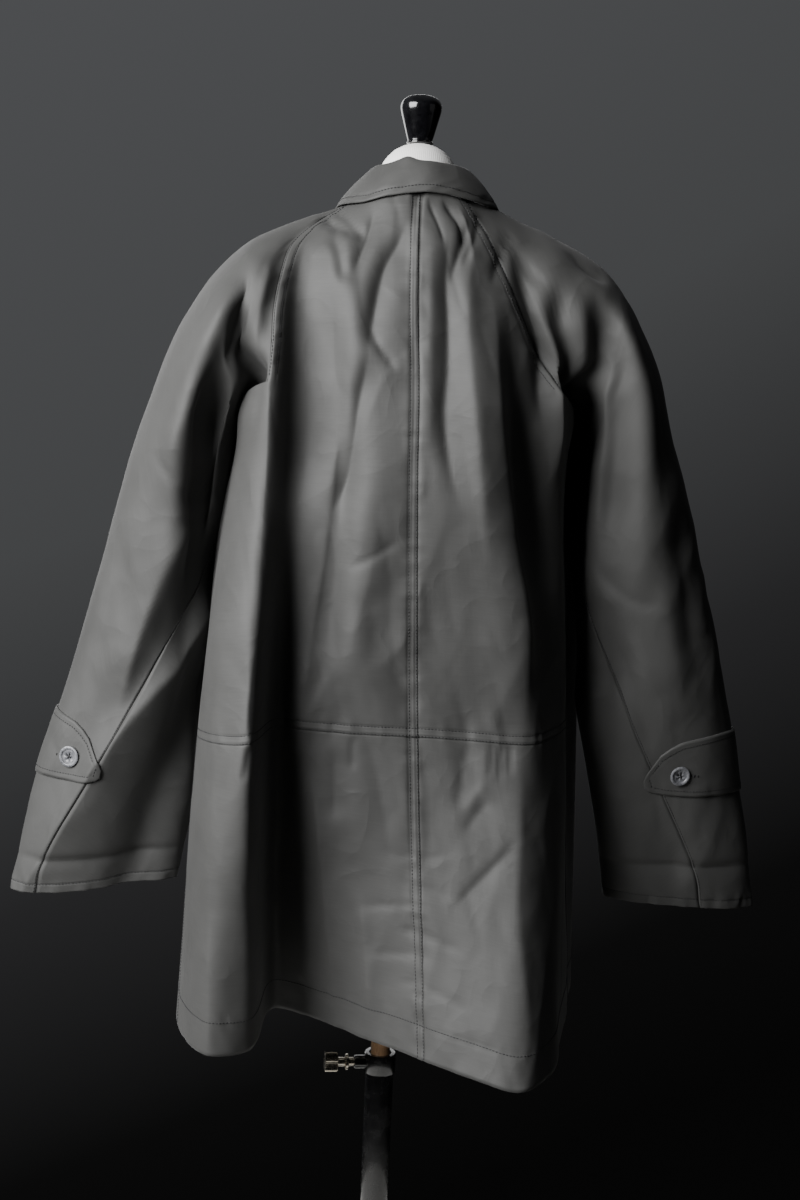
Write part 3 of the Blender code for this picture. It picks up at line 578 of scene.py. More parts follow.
@dataclass(frozen=True)
class CoatForm:
    """The coat's smooth surface, by the same sections as its solids."""

    hip_share: float = 0.4805
    chest_share: float = 0.8510
    line_count: int = 20
    back_foot: int = 4
    side_seam: int = 6
    front_foot: int = 8
    centre_front: int = 10
    neck_size: tuple[float, ...] = (0.068, -0.008, 0.070, 1.456, 0.056)
    neck_centre_back: float = -8.0
    neck_front_corner: float = 122.0
    overlap_half: float = 0.030
    overlap_lift: float = 0.0040
    foot_angle: float = 140.0
    front_neck_angle: float = 22.0
    # Left, then right: neck angle of the back raglan seam, and the sleeve's angle there
    back_corners: tuple[float, float] = (-80.0, 33.0)
    back_neck_angles: tuple[float, float] = (10.0, 24.0)
    armhole_height: float = 1.253
    front_foot_height: float = 1.250
    # Lines that the lapped front reaches past centre front
    lap_lines: float = 0.36
    # Body lines from centre back round the right side:
    # hem x y z, hip x y, chest x y, armhole x y z
    fold_lines: tuple[tuple[float, ...], ...] = (
        (0.014, -0.200, 0.567, 0.000, -0.138, -0.012, -0.146, -0.014, -0.143, 1.253),
        (0.060, -0.238, 0.562, 0.062, -0.142, 0.038, -0.147, 0.034, -0.144, 1.253),
        (0.105, -0.262, 0.556, 0.121, -0.142, 0.080, -0.142, 0.078, -0.140, 1.253),
        (0.148, -0.222, 0.560, 0.155, -0.112, 0.117, -0.124, 0.116, -0.131, 1.253),
        (0.172, -0.150, 0.565, 0.178, -0.075, 0.152, -0.105, 0.148, -0.115, 1.253),
        (0.196, -0.080, 0.567, 0.187, -0.035, 0.170, -0.060, 0.170, -0.065, 1.240),
        (0.212, -0.020, 0.567, 0.194, 0.000, 0.178, -0.005, 0.175, -0.005, 1.233),
        (0.228, 0.050, 0.567, 0.224, 0.066, 0.209, 0.064, 0.178, 0.055, 1.238),
        (0.184, 0.132, 0.567, 0.178, 0.128, 0.156, 0.112, 0.147, 0.105, 1.250),
        (0.092, 0.165, 0.567, 0.085, 0.150, 0.075, 0.142, 0.075, 0.138, 1.253),
        (0.000, 0.175, 0.567, 0.000, 0.160, 0.000, 0.152, 0.000, 0.146, 1.253),
        (-0.095, 0.160, 0.567, -0.088, 0.148, -0.075, 0.142, -0.075, 0.138, 1.253),
        (-0.178, 0.115, 0.567, -0.168, 0.108, -0.157, 0.112, -0.147, 0.105, 1.250),
        (-0.222, 0.030, 0.567, -0.201, 0.022, -0.200, 0.062, -0.178, 0.052, 1.238),
        (-0.234, -0.085, 0.565, -0.222, -0.100, -0.197, -0.045, -0.178, -0.005, 1.233),
        (-0.205, -0.180, 0.566, -0.208, -0.165, -0.193, -0.095, -0.180, -0.070, 1.240),
        (-0.160, -0.168, 0.566, -0.172, -0.190, -0.163, -0.135, -0.163, -0.128, 1.253),
        (-0.130, -0.062, 0.572, -0.140, -0.108, -0.130, -0.114, -0.130, -0.122, 1.253),
        (-0.085, -0.090, 0.570, -0.110, -0.120, -0.096, -0.136, -0.098, -0.136, 1.253),
        (-0.035, -0.145, 0.568, -0.055, -0.134, -0.055, -0.146, -0.056, -0.142, 1.253),
    )
    # Seams above the armhole, foot to neck: x y z
    centre_back_top: tuple[tuple[float, ...], ...] = (
        (-0.014, -0.143, 1.253), (-0.016, -0.139, 1.300), (-0.017, -0.130, 1.350),
        (-0.016, -0.115, 1.400), (-0.013, -0.096, 1.437))
    centre_front_top: tuple[tuple[float, ...], ...] = (
        (0.0, 0.146, 1.253), (0.0, 0.130, 1.310), (0.0, 0.104, 1.360))
    raglan_right: tuple[tuple[float, ...], ...] = (
        (0.148, -0.115, 1.253), (0.122, -0.118, 1.290), (0.098, -0.117, 1.334),
        (0.081, -0.110, 1.372), (0.063, -0.099, 1.411), (0.050, -0.088, 1.433))
    raglan_left: tuple[tuple[float, ...], ...] = (
        (-0.163, -0.128, 1.253), (-0.160, -0.122, 1.290), (-0.158, -0.108, 1.330),
        (-0.151, -0.092, 1.366), (-0.139, -0.068, 1.398), (-0.106, -0.036, 1.428))
    raglan_front: tuple[tuple[float, ...], ...] = (
        (0.147, 0.105, 1.250), (0.140, 0.100, 1.290), (0.128, 0.088, 1.330),
        (0.110, 0.070, 1.370), (0.088, 0.048, 1.405))
    # Sleeve rings from shoulder to cuff hem: outer x z, inner x z, centre y, half depth
    left_rings: tuple[tuple[float, ...], ...] = (
        (0.184, 1.400, 0.197, 1.228, -0.005, 0.108), (0.247, 1.319, 0.204, 1.190, 0.000, 0.100),
        (0.289, 1.209, 0.207, 1.125, 0.004, 0.088), (0.315, 1.113, 0.212, 1.060, 0.008, 0.077),
        (0.341, 1.006, 0.210, 0.972, 0.012, 0.067), (0.364, 0.922, 0.211, 0.902, 0.014, 0.059),
        (0.394, 0.814, 0.217, 0.806, 0.015, 0.049), (0.412, 0.726, 0.230, 0.735, 0.014, 0.040),
        (0.4165, 0.687, 0.238, 0.700, 0.013, 0.036))
    right_rings: tuple[tuple[float, ...], ...] = (
        (0.191, 1.402, 0.194, 1.228, -0.007, 0.108), (0.257, 1.319, 0.201, 1.190, -0.006, 0.100),
        (0.295, 1.209, 0.202, 1.130, -0.010, 0.086), (0.326, 1.113, 0.2025, 1.060, -0.012, 0.075),
        (0.357, 1.006, 0.204, 0.970, -0.013, 0.066), (0.379, 0.922, 0.207, 0.900, -0.012, 0.059),
        (0.405, 0.814, 0.230, 0.806, -0.003, 0.049), (0.424, 0.726, 0.246, 0.728, 0.000, 0.040),
        (0.432, 0.673, 0.252, 0.684, 0.002, 0.036))
    # Angles of the hindarm and forearm seams at the armhole and each ring
    hind_left: tuple[float, ...] = (
        166.6667, 166.0, 167.0, 168.0, 158.0, 112.0, 90.0, 69.0, 51.0, 47.0)
    hind_right: tuple[float, ...] = (
        166.6667, 166.0, 167.0, 168.0, 165.0, 142.0, 121.0, 100.0, 83.0, 79.0)
    fore_seam: tuple[float, ...] = (
        193.3333, 194.0, 196.0, 198.0, 201.0, 204.0, 207.0, 210.0, 213.0, 215.0)
    # Folds along a sleeve: first ring and angle, last ring and angle, half angle, height
    sleeve_folds: tuple[tuple[float, ...], ...] = (
        (0.6, 62.0, 4.6, 100.0, 13.0, 0.008), (0.8, 92.0, 4.4, 128.0, 13.0, -0.010),
        (0.8, 300.0, 4.6, 265.0, 14.0, 0.006), (4.0, 120.0, 7.0, 140.0, 16.0, -0.007))

    def place(self, side: Side, number: Any) -> np.ndarray:
        """Place of a line counted from centre back on one side."""
        count = np.asarray(number, float)
        return count if side is Side.RIGHT else self.line_count - count

    def body(self, places: Any, shares: Any) -> np.ndarray:
        """Body below the armholes.

        Args:
            places: Places among the fold lines.
            shares: Shares of the height from hem (0) to armhole (1).

        Returns:
            Rows by share and columns by place.
        """
        table = np.array(self.fold_lines)
        place = np.atleast_1d(np.asarray(places, float))
        share = np.atleast_1d(np.asarray(shares, float))
        knots = (0.0, self.hip_share, self.chest_share, 1.0)
        x = hermite(knots, table[:, [0, 3, 5, 7]].T, share)
        y = hermite(knots, table[:, [1, 4, 6, 8]].T, share)
        z = table[:, 2] + (table[:, 9] - table[:, 2]) * share[:, None]
        points = np.stack([x, y, z], -1)[:, np.arange(-2, self.line_count + 3) % self.line_count]
        steps = np.linalg.norm(np.diff(points, axis=1), axis=2)
        run = np.concatenate([np.zeros((len(share), 1)), np.cumsum(steps, 1)], 1)[:, :, None]
        index = np.minimum(np.floor(place).astype(int) + 2, self.line_count + 3)
        high = np.minimum(index + 2, self.line_count + 4)
        span = run[:, index + 1] - run[:, index]
        start = (points[:, index + 1] - points[:, index - 1]) * (
            span / (run[:, index + 1] - run[:, index - 1]))
        end = (points[:, high] - points[:, index]) * (span / (run[:, high] - run[:, index]))
        step = (place + 2 - index)[None, :, None]
        return blend(points[:, index], points[:, index + 1], start, end, step)

    def neck(self, angles: Any) -> np.ndarray:
        """Neck seam at angles from the middle of the back."""
        width, middle, depth, height, drop = self.neck_size
        turn = np.radians(np.atleast_1d(np.asarray(angles, float)))
        fall = drop * (0.5 - 0.5 * np.cos(turn)) ** 3
        return np.stack([width * np.sin(turn), middle - depth * np.cos(turn), height - fall], -1)

    def back_corner(self, side: Side) -> float:
        """Neck angle where the back raglan seam ends."""
        return self.back_corners[side is Side.RIGHT]

    def back_neck_angle(self, side: Side) -> float:
        """Sleeve's angle where the back raglan seam ends."""
        return self.back_neck_angles[side is Side.RIGHT]

    def under_step(self) -> float:
        """Degrees round the sleeve for each body line under the arm."""
        return (180.0 - self.foot_angle) / (self.side_seam - self.back_foot)

    def raglan(self, side: Side, facing: Facing) -> np.ndarray:
        """Points of a raglan seam from its foot to the neck."""
        if facing is Facing.FRONT:
            points = np.array(self.raglan_front) * (side.value, 1.0, 1.0)
            foot = self.body(self.place(side, self.front_foot), 1.0)[0]
            top = self.neck(side.value * self.neck_front_corner)
        else:
            points = np.array(self.raglan_right if side is Side.RIGHT else self.raglan_left)
            foot = self.body(self.place(side, self.back_foot), 1.0)[0]
            top = self.neck(self.back_corner(side))
        return np.concatenate([foot, points[1:], top])

    def patch(self, foot: np.ndarray, neck: np.ndarray, middle: np.ndarray, edge: np.ndarray,
              outs: np.ndarray, ups: np.ndarray) -> np.ndarray:
        """Surface blended from four edge curves.

        Args:
            foot: Lower curve, a point for each column.
            neck: Upper curve, a point for each column.
            middle: Points of the curve at the first column.
            edge: Points of the curve at the last column.
            outs: Column shares.
            ups: Row shares.

        Returns:
            Rows and columns of the surface.
        """
        out = outs[None, :, None]
        up = ups[:, None, None]
        first = along(middle, ups)[:, None]
        last = along(edge, ups)[:, None]
        corners = (middle[0] * (1 - out) * (1 - up) + edge[0] * out * (1 - up)
                   + middle[-1] * (1 - out) * up + edge[-1] * out * up)
        return foot[None] * (1 - up) + neck[None] * up + first * (1 - out) + last * out - corners

    def back_top(self, side: Side, numbers: np.ndarray, ups: np.ndarray) -> np.ndarray:
        """Back between the armhole row and the neck, numbers counted from centre back."""
        outs = numbers / self.back_foot
        foot = self.body(self.place(side, numbers), 1.0)[0]
        turn = self.neck_centre_back + (self.back_corner(side) - self.neck_centre_back) * outs
        middle = np.concatenate([self.body(0.0, 1.0)[0], np.array(self.centre_back_top)[1:],
                                 self.neck(self.neck_centre_back)])
        return self.patch(foot, self.neck(turn), middle, self.raglan(side, Facing.BACK), outs, ups)

    def front_top(self, side: Side, numbers: np.ndarray, ups: np.ndarray) -> np.ndarray:
        """Front between the armhole row and the neck, numbers falling from the lapped edge."""
        edge_number = self.centre_front + self.lap_lines
        columns = [edge_number, self.centre_front + self.lap_lines / 2]
        columns += [self.centre_front - k / 3 for k in range(7)]
        outs = np.interp(-numbers, -np.array(columns), np.arange(9) / 8.0)
        foot = self.body(self.place(side, numbers), 1.0)[0]
        turn = math.degrees(math.asin(self.overlap_half / self.neck_size[0]))
        start = side.value * (180.0 + turn)
        neck = self.neck(start + (side.value * self.neck_front_corner - start) * outs)
        edge_foot = self.body(self.place(side, edge_number), 1.0)[0]
        middle = np.array(self.centre_front_top)[1:]
        middle[:, 0] = edge_foot[0, 0]
        middle = np.concatenate([edge_foot, middle, self.neck(start)])
        return self.patch(foot, neck, middle, self.raglan(side, Facing.FRONT), outs, ups)

    def armhole(self, side: Side, angles: np.ndarray) -> np.ndarray:
        """Armhole seam by angle: 0 over the shoulder, 90 back, 180 under, 270 front.

        Args:
            side: Wearer's side.
            angles: Angles in degrees, of any shape.

        Returns:
            One point for each angle.
        """
        angle = np.mod(angles, 360.0).ravel()
        neck_angle = self.back_neck_angle(side)
        shoulder = side.value * 90.0
        points = np.empty((angle.size, 3))
        over_back = angle <= neck_angle
        points[over_back] = self.neck(
            shoulder + (self.back_corner(side) - shoulder) * angle[over_back] / neck_angle)
        behind = (angle > neck_angle) & (angle <= self.foot_angle)
        points[behind] = along(self.raglan(side, Facing.BACK),
                               (self.foot_angle - angle[behind]) / (self.foot_angle - neck_angle))
        under = (angle > self.foot_angle) & (angle < 360.0 - self.foot_angle)
        number = self.back_foot + (angle[under] - self.foot_angle) / self.under_step()
        points[under] = self.body(self.place(side, number), 1.0)[0]
        front_end = 360.0 - self.front_neck_angle
        before = (angle >= 360.0 - self.foot_angle) & (angle <= front_end)
        span = self.foot_angle - self.front_neck_angle
        rise = (angle[before] - 360.0 + self.foot_angle) / span
        points[before] = along(self.raglan(side, Facing.FRONT), rise)
        over_front = angle > front_end
        share = (360.0 - angle[over_front]) / self.front_neck_angle
        forward = side.value * (self.neck_front_corner - 90.0)
        points[over_front] = self.neck(shoulder + forward * share)
        return points.reshape(*np.shape(angles), 3)

    def sleeve(self, side: Side, angles: np.ndarray, rings: np.ndarray) -> np.ndarray:
        """Sleeve surface between the armhole (ring 0) and the cuff hem (ring 9).

        Args:
            side: Wearer's side.
            angles: Angles in degrees, a row for each ring.
            rings: One place along the sleeve for each row.

        Returns:
            Rows and columns of the surface.
        """
        table = np.array(self.left_rings if side is Side.LEFT else self.right_rings)
        turn = np.radians(angles)
        controls = [self.armhole(side, angles)]
        centres = []
        for outer_x, outer_z, inner_x, inner_z, centre_y, depth in table:
            outer = np.array((side.value * outer_x, centre_y, outer_z))
            inner = np.array((side.value * inner_x, centre_y, inner_z))
            centre = (outer + inner) / 2
            half = (outer - inner) / 2
            ring = centre + half * np.cos(turn)[..., None]
            ring[..., 1] -= depth * np.sin(turn)
            controls.append(ring)
            centres.append(centre)
        centres.insert(0, centres[0])
        control = np.stack(controls)
        index = np.clip(np.ceil(rings).astype(int) - 1, 0, 8)
        low = np.maximum(index - 1, 0)
        high = np.minimum(index + 2, 9)
        row = np.arange(len(rings))
        share = (rings - index)[:, None, None]
        start = (control[index + 1, row] - control[low, row]) / (index + 1 - low)[:, None, None]
        end = (control[high, row] - control[index, row]) / (high - index)[:, None, None]
        points = blend(control[index, row], control[index + 1, row], start, end, share)
        middle = hermite(range(10), np.array(centres), rings)[:, None]
        push = np.zeros(angles.shape)
        for first, first_angle, last, last_angle, half_angle, height in self.sleeve_folds:
            part = ((rings - first) / (last - first))[:, None]
            middle_angle = first_angle + (last_angle - first_angle) * part
            apart = np.mod(angles - middle_angle + 180.0, 360.0) - 180.0
            inside = (part > 0.0) & (part < 1.0)
            push += np.where(inside, height * np.sin(np.pi * np.clip(part, 0, 1))
                             * np.exp(-(apart / half_angle) ** 2), 0.0)
        away = points - middle
        return points + away / np.linalg.norm(away, axis=-1, keepdims=True) * push[..., None]


@dataclass(frozen=True)
class Crease:
    """One ridge (positive) or trough (negative), drawn from above as a line of x and z."""

    name: str
    path: tuple[tuple[float, float], ...]
    left: float
    right: float
    height: float
    sharp: float = 1.7
    fade: float = 0.28

    def push(self, x: np.ndarray, z: np.ndarray) -> np.ndarray:
        """Outward push at points of the cloth.

        Args:
            x: Across the coat.
            z: Up the coat.

        Returns:
            Push in metres.
        """
        pieces = 16
        line = along(self.path, np.linspace(0.0, 1.0, pieces + 1))
        run = np.concatenate([[0.0], np.cumsum(np.linalg.norm(np.diff(line, axis=0), axis=1))])
        best = np.full(x.shape, np.inf)
        offset = np.zeros(x.shape)
        place = np.zeros(x.shape)
        for k in range(pieces):
            step = line[k + 1] - line[k]
            length = np.linalg.norm(step)
            ahead = (x - line[k, 0]) * step[0] + (z - line[k, 1]) * step[1]
            share = np.clip(ahead / length ** 2, 0, 1)
            away_x = x - line[k, 0] - share * step[0]
            away_z = z - line[k, 1] - share * step[1]
            far = np.hypot(away_x, away_z)
            nearer = far < best
            side = np.sign(step[0] * away_z - step[1] * away_x)
            best = np.where(nearer, far, best)
            offset = np.where(nearer, side * far, offset)
            place = np.where(nearer, (run[k] + share * length) / run[-1], place)
        reach = np.where(offset < 0, self.left, self.right)
        fade = ease(place / self.fade) * ease((1.0 - place) / self.fade)
        return self.height * fade * np.exp(-(np.abs(offset) / reach) ** self.sharp)


BACK_CREASES = (
    Crease("yoke_trough", ((-0.020, 1.428), (-0.036, 1.399), (-0.049, 1.374), (-0.055, 1.350),
                           (-0.060, 1.317), (-0.064, 1.280)), 0.009, 0.020, -0.0090, 1.3),
    Crease("yoke_kink", ((-0.064, 1.312), (-0.048, 1.287), (-0.031, 1.267)),
           0.004, 0.009, -0.0040, 1.1),
    Crease("blade_trough", ((-0.060, 1.298), (-0.070, 1.239), (-0.075, 1.194), (-0.084, 1.150),
                            (-0.103, 1.115)), 0.010, 0.026, -0.0095, 1.3),
    Crease("collar_end_fold", ((-0.113, 1.425), (-0.095, 1.420), (-0.074, 1.408)),
           0.005, 0.007, -0.0045),
    Crease("collar_end_fall", ((-0.102, 1.415), (-0.094, 1.390), (-0.090, 1.355)),
           0.006, 0.008, -0.0040),
    Crease("collar_mid_fall", ((-0.070, 1.425), (-0.073, 1.395), (-0.080, 1.350)),
           0.009, 0.012, -0.0030),
    Crease("valley_head", ((-0.108, 1.428), (-0.125, 1.400), (-0.134, 1.359), (-0.134, 1.323),
                           (-0.132, 1.282), (-0.129, 1.237), (-0.128, 1.180), (-0.132, 1.110)),
           0.014, 0.022, -0.0120, 1.7),
    Crease("valley_side", ((-0.108, 1.410), (-0.107, 1.340), (-0.100, 1.260), (-0.093, 1.180),
                           (-0.091, 1.080),
                           (-0.096, 0.980), (-0.104, 0.900)), 0.028, 0.020, -0.0165, 2.0),
    Crease("armpit_hollow_left", ((-0.222, 1.290), (-0.228, 1.220), (-0.232, 1.140),
                                  (-0.236, 1.060),
                                  (-0.236, 0.980)), 0.012, 0.030, -0.0220, 1.8),
    Crease("armpit_hollow_right", ((0.187, 1.280), (0.189, 1.210), (0.191, 1.120), (0.197, 1.030)),
           0.028, 0.026, -0.0130, 1.8),
    Crease("collar_rest", ((-0.085, 1.432), (-0.040, 1.448), (0.000, 1.453), (0.040, 1.448),
                           (0.078, 1.434)),
           0.013, 0.013, 0.0060),
    Crease("gather_1", ((-0.108, 1.445), (-0.101, 1.428), (-0.096, 1.412), (-0.094, 1.402)),
           0.003, 0.006, -0.0034, 1.1),
    Crease("gather_2", ((-0.100, 1.444), (-0.092, 1.435), (-0.083, 1.425), (-0.073, 1.411),
                        (-0.067, 1.401)),
           0.003, 0.007, -0.0044, 1.1),
    Crease("gather_3", ((-0.055, 1.438), (-0.062, 1.418), (-0.067, 1.403), (-0.075, 1.383),
                        (-0.080, 1.368)),
           0.004, 0.008, -0.0038, 1.1),
    Crease("gather_4", ((-0.004, 1.448), (0.005, 1.428), (0.011, 1.411), (0.014, 1.396)),
           0.003, 0.006, -0.0036, 1.1),
    Crease("gather_5", ((0.010, 1.448), (0.022, 1.433), (0.030, 1.421), (0.033, 1.408),
                        (0.031, 1.396)),
           0.003, 0.007, -0.0046, 1.1),
    Crease("gather_ridge", ((0.028, 1.442), (0.038, 1.422), (0.043, 1.402), (0.042, 1.380)),
           0.005, 0.005, 0.0030, 1.3),
    Crease("gather_6", ((0.054, 1.442), (0.049, 1.420), (0.044, 1.404), (0.036, 1.386),
                        (0.029, 1.372)),
           0.004, 0.008, -0.0044, 1.1),
    Crease("gather_7", ((0.089, 1.434), (0.081, 1.412), (0.075, 1.395), (0.067, 1.375),
                        (0.061, 1.360)),
           0.004, 0.008, -0.0044, 1.1),
    Crease("gather_8", ((0.084, 1.415), (0.097, 1.395), (0.106, 1.381), (0.115, 1.370),
                        (0.123, 1.357)),
           0.004, 0.007, -0.0044, 1.1),
    Crease("spine_trough", ((0.020, 1.428), (0.015, 1.368), (0.017, 1.329), (0.018, 1.275),
                            (0.016, 1.228), (0.025, 1.169), (0.041, 1.120)),
           0.008, 0.014, -0.0065, 1.3),
    Crease("spine_head", ((0.044, 1.430), (0.030, 1.396), (0.020, 1.360)),
           0.005, 0.007, -0.0050, 1.3),
    Crease("spine_ridge", ((0.001, 1.420), (0.000, 1.342), (0.001, 1.261), (0.003, 1.160)),
           0.010, 0.009, 0.0030),
    Crease("blade_ridge", ((0.048, 1.432), (0.038, 1.348), (0.043, 1.259), (0.055, 1.155),
                           (0.070, 1.060)), 0.016, 0.015, 0.0075, 1.6),
    Crease("right_edge", ((0.060, 1.365), (0.068, 1.316), (0.071, 1.261), (0.075, 1.214),
                          (0.086, 1.142), (0.098, 1.080), (0.112, 0.996), (0.121, 0.880)),
           0.055, 0.013, 0.0160, 1.3),
    Crease("right_horn", ((0.074, 1.352), (0.086, 1.318), (0.095, 1.260), (0.102, 1.190),
                          (0.112, 1.110), (0.126, 1.030)), 0.020, 0.040, -0.0140, 1.8),
    Crease("raglan_trough", ((0.088, 1.414), (0.101, 1.358), (0.114, 1.316), (0.123, 1.269),
                             (0.128, 1.210)), 0.008, 0.011, -0.0105, 1.5),
    Crease("raglan_ridge", ((0.104, 1.372), (0.123, 1.327), (0.136, 1.300), (0.146, 1.249),
                            (0.149, 1.150)), 0.010, 0.006, 0.0080, 1.3),
    Crease("arm_trough_right", ((0.138, 1.376), (0.139, 1.324), (0.153, 1.288), (0.170, 1.230)),
           0.010, 0.014, -0.0120, 1.5),
    Crease("arm_ridge_right", ((0.162, 1.366), (0.169, 1.311), (0.179, 1.240)),
           0.009, 0.008, 0.0030, 1.4),
    Crease("arm_gap_right", ((0.184, 1.376), (0.186, 1.310), (0.189, 1.260), (0.195, 1.170)),
           0.014, 0.022, -0.0180, 1.8),
    Crease("arm_edge_right", ((0.205, 1.385), (0.212, 1.327), (0.222, 1.250), (0.232, 1.160)),
           0.022, 0.026, 0.0035, 1.4),
    Crease("shoulder_right", ((0.152, 1.408), (0.174, 1.385), (0.200, 1.372)),
           0.006, 0.007, -0.0050, 1.4),
    Crease("arm_ridge_left", ((-0.180, 1.392), (-0.205, 1.328), (-0.224, 1.280), (-0.240, 1.231),
                              (-0.254, 1.181), (-0.262, 1.130)), 0.020, 0.008, 0.0080, 1.2),
    Crease("arm_trough_left", ((-0.183, 1.384), (-0.192, 1.330), (-0.190, 1.270), (-0.184, 1.215)),
           0.010, 0.013, -0.0120, 1.6),
    Crease("arm_crest_left", ((-0.201, 1.340), (-0.209, 1.273), (-0.224, 1.190), (-0.243, 1.130)),
           0.008, 0.007, 0.0060, 1.3),
    Crease("raglan_crest_left", ((-0.160, 1.385), (-0.172, 1.330), (-0.176, 1.270)),
           0.009, 0.009, 0.0050),
    Crease("elbow_crumple", ((-0.276, 1.180), (-0.246, 1.128), (-0.216, 1.118)),
           0.004, 0.013, -0.0026, 1.05),
    Crease("elbow_crease", ((-0.262, 1.105), (-0.236, 1.098), (-0.206, 1.112)),
           0.003, 0.011, -0.0020, 1.05),
    Crease("hindarm_crest_left", ((-0.190, 1.060), (-0.215, 1.000), (-0.262, 0.930),
                                  (-0.312, 0.862),
                                  (-0.352, 0.790), (-0.395, 0.700), (-0.440, 0.600)),
           0.014, 0.036, 0.0150, 1.3),
    Crease("under_hollow_left", ((-0.188, 1.020), (-0.212, 0.930), (-0.240, 0.850),
                                 (-0.264, 0.780),
                                 (-0.290, 0.700), (-0.320, 0.600)), 0.030, 0.032, -0.0160, 1.8),
    Crease("hindarm_crest_right", ((0.205, 1.060), (0.232, 0.980), (0.268, 0.890), (0.300, 0.800),
                                   (0.330, 0.700), (0.355, 0.620)), 0.034, 0.020, -0.0040, 1.5),
    Crease("forearm_ridge_left", ((-0.240, 1.125), (-0.261, 1.062), (-0.285, 0.975),
                                  (-0.306, 0.895)),
           0.022, 0.012, 0.0110, 1.2),
    Crease("forearm_trough_left", ((-0.300, 1.100), (-0.318, 1.010), (-0.335, 0.930)),
           0.014, 0.016, -0.0040),
    Crease("arm_band_right", ((0.258, 1.200), (0.276, 1.080), (0.298, 0.960), (0.315, 0.880)),
           0.020, 0.022, 0.0045),
    Crease("arm_hollow_right", ((0.285, 1.150), (0.305, 1.050), (0.330, 0.940)),
           0.016, 0.018, -0.0045),
    Crease("elbow_fold_right", ((0.215, 1.075), (0.248, 1.035), (0.290, 1.030)),
           0.005, 0.014, -0.0026, 1.1),
    Crease("cuff_line_left", ((-0.425, 0.7255), (-0.320, 0.730), (-0.215, 0.7365)),
           0.010, 0.004, -0.0046, 1.2),
    Crease("cuff_line_right", ((0.225, 0.7285), (0.335, 0.727), (0.440, 0.7255)),
           0.010, 0.004, -0.0046, 1.2),
    Crease("blade_dent", ((-0.085, 1.062), (-0.060, 1.072), (-0.020, 1.098)),
           0.004, 0.013, -0.0026, 1.05),
    Crease("waist_dent", ((-0.062, 1.050), (-0.045, 1.000), (-0.050, 0.950)),
           0.016, 0.020, -0.0030),
    Crease("skirt_crease", ((-0.105, 0.865), (-0.094, 0.808), (-0.086, 0.753), (-0.077, 0.683),
                            (-0.071, 0.630), (-0.066, 0.575)), 0.011, 0.022, 0.0075, 1.05),
    Crease("skirt_patch", ((-0.082, 0.880), (-0.078, 0.834), (-0.077, 0.795)),
           0.008, 0.014, -0.0032, 1.2),
    Crease("skirt_ridge", ((-0.048, 0.735), (-0.042, 0.690), (-0.030, 0.570)),
           0.009, 0.010, 0.0045, 1.4),
    Crease("skirt_dent_high", ((0.057, 0.890), (0.052, 0.847), (0.046, 0.812)),
           0.008, 0.014, -0.0030, 1.2),
    Crease("skirt_dent_low", ((0.082, 0.832), (0.065, 0.812), (0.054, 0.794)),
           0.005, 0.011, -0.0028, 1.1),
    Crease("skirt_dent_crest", ((0.078, 0.848), (0.064, 0.830), (0.056, 0.815)),
           0.006, 0.007, 0.0022, 1.2),
    Crease("skirt_diagonal", ((0.113, 0.796), (0.084, 0.764), (0.068, 0.748), (0.040, 0.717)),
           0.004, 0.015, -0.0040, 1.0),
    Crease("skirt_corner", ((0.114, 0.890), (0.114, 0.831), (0.112, 0.782), (0.108, 0.734),
                            (0.110, 0.686), (0.115, 0.630), (0.117, 0.560)),
           0.026, 0.010, 0.0050, 1.2),
    Crease("seam_pull_1", ((-0.034, 0.776), (0.004, 0.765), (0.052, 0.778)),
           0.003, 0.009, -0.0013, 1.1),
    Crease("seam_pull_2", ((-0.012, 0.744), (0.006, 0.741), (0.048, 0.728)),
           0.003, 0.007, -0.0016, 1.1),
    Crease("seam_pull_3", ((-0.052, 0.709), (0.005, 0.719), (0.024, 0.714)),
           0.003, 0.008, -0.0015, 1.1),
    Crease("seam_pull_4", ((-0.016, 0.693), (0.008, 0.692), (0.060, 0.676)),
           0.003, 0.007, -0.0017, 1.1),
    Crease("seam_pull_5", ((-0.044, 0.660), (0.008, 0.669), (0.030, 0.664)),
           0.003, 0.010, -0.0014, 1.1),
    Crease("seam_pull_6", ((-0.014, 0.638), (0.010, 0.640), (0.066, 0.622)),
           0.003, 0.007, -0.0013, 1.1),
    Crease("hip_gather_1", ((0.084, 0.892), (0.083, 0.872), (0.082, 0.850)),
           0.003, 0.003, -0.0018, 1.5),
    Crease("hip_gather_2", ((0.094, 0.892), (0.093, 0.870), (0.091, 0.845)),
           0.003, 0.003, -0.0022, 1.5),
    Crease("hip_gather_3", ((0.104, 0.892), (0.103, 0.872), (0.102, 0.852)),
           0.003, 0.003, -0.0020, 1.5),
    Crease("hip_gather_4", ((-0.172, 0.892), (-0.174, 0.872), (-0.178, 0.850)),
           0.003, 0.004, -0.0022, 1.5),
    Crease("hip_gather_5", ((-0.062, 0.892), (-0.062, 0.874), (-0.061, 0.852)),
           0.003, 0.004, -0.0016, 1.5),
)
